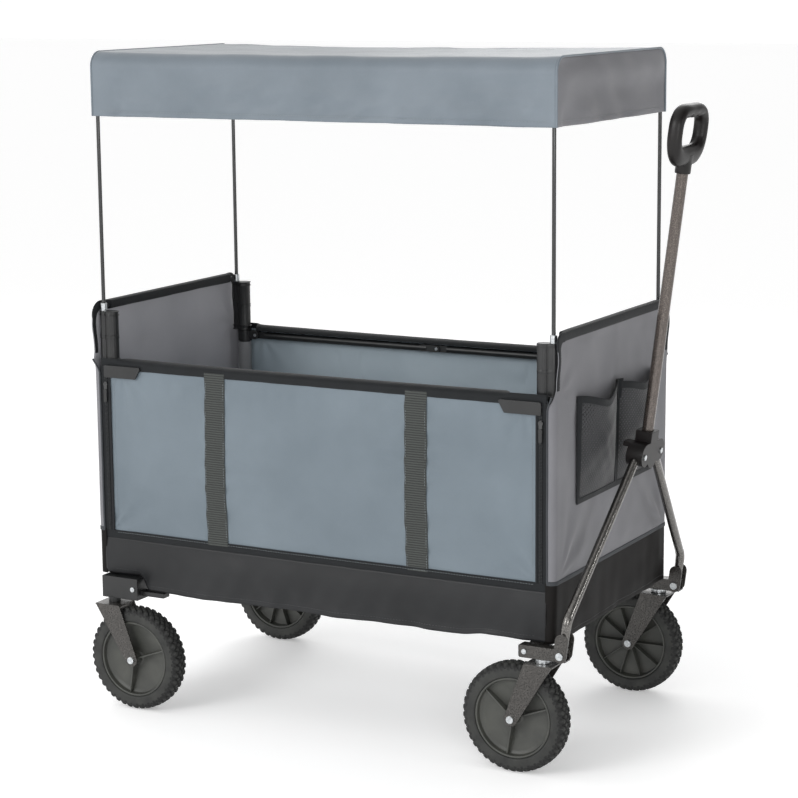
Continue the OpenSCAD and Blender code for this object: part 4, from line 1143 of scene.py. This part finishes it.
def on_handle(across, along, off):
    """From the handle's own lengths - across it, along it from the pivot, and off it towards the
    front - to the wagon's: the handle leans forward by 7.4 degrees."""
    return np.stack([pivot_x + off * math.cos(handle_lean) + along * math.sin(handle_lean), across,
                     pivot_z - off * math.sin(handle_lean) + along * math.cos(handle_lean)], -1)


# radial sections between the finger hole and the outer line, each a soft-cornered oval
hole_at, ring_count = 862.0, 220
hole = lobes([(k * 30, j * 6, 18) for k in (-1, 1) for j in (-1, 1)],
             [(-48, 48, -6, 6), (-30, 30, -24, 24)], np.zeros(2), ring_count, 2.0)
rim = lobes([(k * 30, 10, 36) for k in (-1, 1)] + [(k * 28, -24, 35) for k in (-1, 1)],
            [(-24, 24, 0, 46), (-24, 24, -58, 0), (-66, 66, -20, 8)], np.zeros(2), ring_count, 6.0)
turn = np.linspace(0, 2 * np.pi, ring_count, endpoint=False)
# four finger rolls under the top bar
fingers = (1.6 * np.cos(hole[:, 0] / 86 * 8 * np.pi) * smooth(hole[:, 1], 12, 20)
           * (1 - smooth(np.abs(hole[:, 0]), 30, 42)))
hole = hole * (1 - fingers / np.linalg.norm(hole, axis=1))[:, None]
oval = np.linspace(0, 2 * np.pi, 36, endpoint=False)
wide, deep = (np.sign(f(oval)) * np.abs(f(oval)) ** 0.9 for f in (np.cos, np.sin))
centre, reach = (rim + hole) / 2, (rim - hole) / 2
depth = np.full(ring_count, 12.6)
flat_ring = centre[:, None] + reach[:, None] * wide[None, :, None]
ring_grid = on_handle(flat_ring[..., 0], hole_at + flat_ring[..., 1], depth[:, None] * deep[None])
neck_turn = np.linspace(0, 2 * np.pi, 48, endpoint=False)
neck_s = np.array([790, 790.6, 793, 806, 812, 816, 822])
neck_r = np.array([9.5, 14.4, 15.8, 16.2, 17.4, 19.0, 20.0])
neck = on_handle(neck_r[:, None] * np.cos(neck_turn) * 1.05, np.broadcast_to(neck_s[:, None], (7, 48)),
                 np.minimum(neck_r, 13.0)[:, None] * np.sin(neck_turn))
grip_ring = make_piece("grip_ring", [shell(ring_grid, around=True, along=True),
                                     bar(neck)], grip_plastic)
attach(grip_ring, "handle")
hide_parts("grip")


# ---------- canopy ----------
# Two hoops of 7 mm round bar in gloss black stand in the corner sockets. The cover is one coated
# cloth, sewn to two end skirts with a thin piping, and its four skirts hang 80 mm below the bend.

wear(gloss_black, "hoop_rear", "hoop_front")

roof_half, roof_bend, roof_top, skirt_hem, roof_end = 232.0, 27.0, 1191.2, 1077.6, 455.4
drop = roof_top - roof_bend - skirt_hem
roof_reach = roof_half - roof_bend + roof_bend * math.pi / 2 + drop


def roof_section(w):
    """The cover's section by its length w from the ridge: flat, a quarter turn, then straight down."""
    flat = roof_half - roof_bend
    turn = np.clip((np.abs(w) - flat) / roof_bend, 0, np.pi / 2)
    down = np.maximum(np.abs(w) - flat - roof_bend * np.pi / 2, 0)
    y = np.minimum(np.abs(w), flat) + roof_bend * np.sin(turn)
    return np.sign(w) * y, roof_top - roof_bend * (1 - np.cos(turn)) - down, down


def roof(x, w):
    """The cover over (x, w): it sags between the hoops, creases softly over them, and its side
    skirts hang in shallow waves that grow towards the hem."""
    y, z, down = roof_section(w)
    between = np.clip(1 - (x / 449) ** 2, 0, 1)
    top = 1 - smooth(np.abs(w), 180, 262)
    hang = np.clip(down / drop, 0, 1)
    sag = (6.5 + 1.5 * np.cos(w / 60)) * between ** 0.7
    waves = crumple(x, w, 71, 330, 48, 1.5) * smooth(between, 0.0, 0.25)
    folds = 2.2 * np.sin(x / 58 + 1.2 * np.sin(x / 130))
    side = np.sign(w) * (crumple(x, 1.6 * down, 73, 190, 34, 5.0) + folds - 1.0)
    tight = np.sign(w) * 3.2 * between * np.sin(np.pi * np.clip((np.abs(w) - 150) / 170, 0, 1))
    slack = smooth(between, 0.0, 0.22)
    sunk = sag * top - waves * (0.35 + 0.65 * top) * (1 - hang)
    return np.stack([x, y + side * hang * slack - tight, z - sunk], -1)


def roof_cap(end):
    """An end skirt over (y, z), flat behind the hoop with a slight bulge and slanting folds."""
    def skin(y, z):
        high = np.clip((z - skirt_hem) / (roof_top - skirt_hem), 0, 1)
        inside = (1 - smooth(np.abs(y), 196, 226)) * (1 - smooth(high, 0.88, 1.0))
        folds = 1.5 * np.sin((y + 1.6 * (z - 1077)) / 27 + 1.5 * np.sin(y / 70)) * inside
        hem = crumple(y, z, 81 + end, 190, 40, 2.4) * (1 - high) * inside
        edge = np.sqrt(np.clip(1 - (y / (roof_half - 0.5)) ** 2, 0, 1) * np.clip(1 - high, 0, 1))
        bulge = 7.0 * np.exp(-((z - 1162) / 22) ** 2) * smooth(edge, 0.0, 0.4)
        return np.stack([end * (roof_end + folds + hem + bulge - 1.0), y, z], -1)
    return skin


canopy_cloth = oxford("blue_grey_canopy_oxford", "#5f6971", "#757e86", 1.9, 0.5, 0.3)


def cord_round(path, radius):
    """A round cord of this radius along a path: rings square to the path's own direction."""
    ahead = np.gradient(path, axis=0)
    ahead /= np.linalg.norm(ahead, axis=1, keepdims=True)
    side = np.cross(ahead, [0.31, 0.17, 0.93])
    side /= np.linalg.norm(side, axis=1, keepdims=True)
    up = np.cross(side, ahead)
    turn = np.linspace(0, 2 * np.pi, 10, endpoint=False)[None, :, None]
    return path[:, None] + radius * (np.cos(turn) * side[:, None] + np.sin(turn) * up[:, None])


def canopy_trim(piece, squashes=True):
    """With squashes set, rides on the rear hoop on a mesh of its own, as the cover does; otherwise it
    does nothing.
    """
    if squashes:
        crumples_with_fold(piece, "canopy_rear")


along_roof = np.linspace(-roof_end, roof_end, 230)
round_roof = np.concatenate([np.linspace(-roof_reach, -190, 50)[:-1], np.linspace(-190, 190, 60),
                             np.linspace(190, roof_reach, 50)[1:]])
cover = add_cloth("canopy_roof", [shell(sheet_grid(roof, along_roof, round_roof))], canopy_cloth, 1.2)
roof_rows = [hem_row(roof, np.stack([along_roof[4:-4], np.full(222, k * (roof_reach - 9))], 1), 1)
             for k in (-1, 1)]
roof_hems = make_piece("canopy_hem_stitching", roof_rows, grey_thread, closed=False)
for piece in (cover, roof_hems):
    canopy_trim(piece)
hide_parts("canopy_cover")

for end in (-1, 1):
    rim = roof(np.full(420, end * roof_end), np.linspace(-roof_reach, roof_reach, 420))
    skin = roof_cap(end)
    body = "canopy_rear" if end < 0 else "canopy_front"
    share = np.linspace(0, 1, 30)[:, None]
    across = np.sin(np.linspace(-np.pi / 2, np.pi / 2, 180)) * (roof_half - 0.6)
    corner = np.clip(np.abs(across) - (roof_half - roof_bend), 0, roof_bend)
    crown = roof_top - roof_bend + np.sqrt(roof_bend ** 2 - corner ** 2) - 0.6
    grid = skin(np.broadcast_to(across, (30, 180)), skirt_hem + share * (crown[None] - skirt_hem))
    cap = add_cloth("canopy_end_" + body, [shell(grid[:, ::end])], end_cloth, 1.2)
    piping = make_piece("canopy_piping_" + body, [bar(cord_round(rim + [end * 0.6, 0, 0], 1.9))],
                        canopy_cloth)
    hem_line = np.stack([np.linspace(-222, 222, 260), np.full(260, skirt_hem + 9.0)], 1)
    thread = make_piece("canopy_end_stitching_" + body, [hem_row(skin, hem_line, end)], grey_thread,
                        closed=False)
    for piece in (cap, piping, thread):
        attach(piece, body)
        canopy_trim(piece, squashes=False)
    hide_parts("canopy_cover")
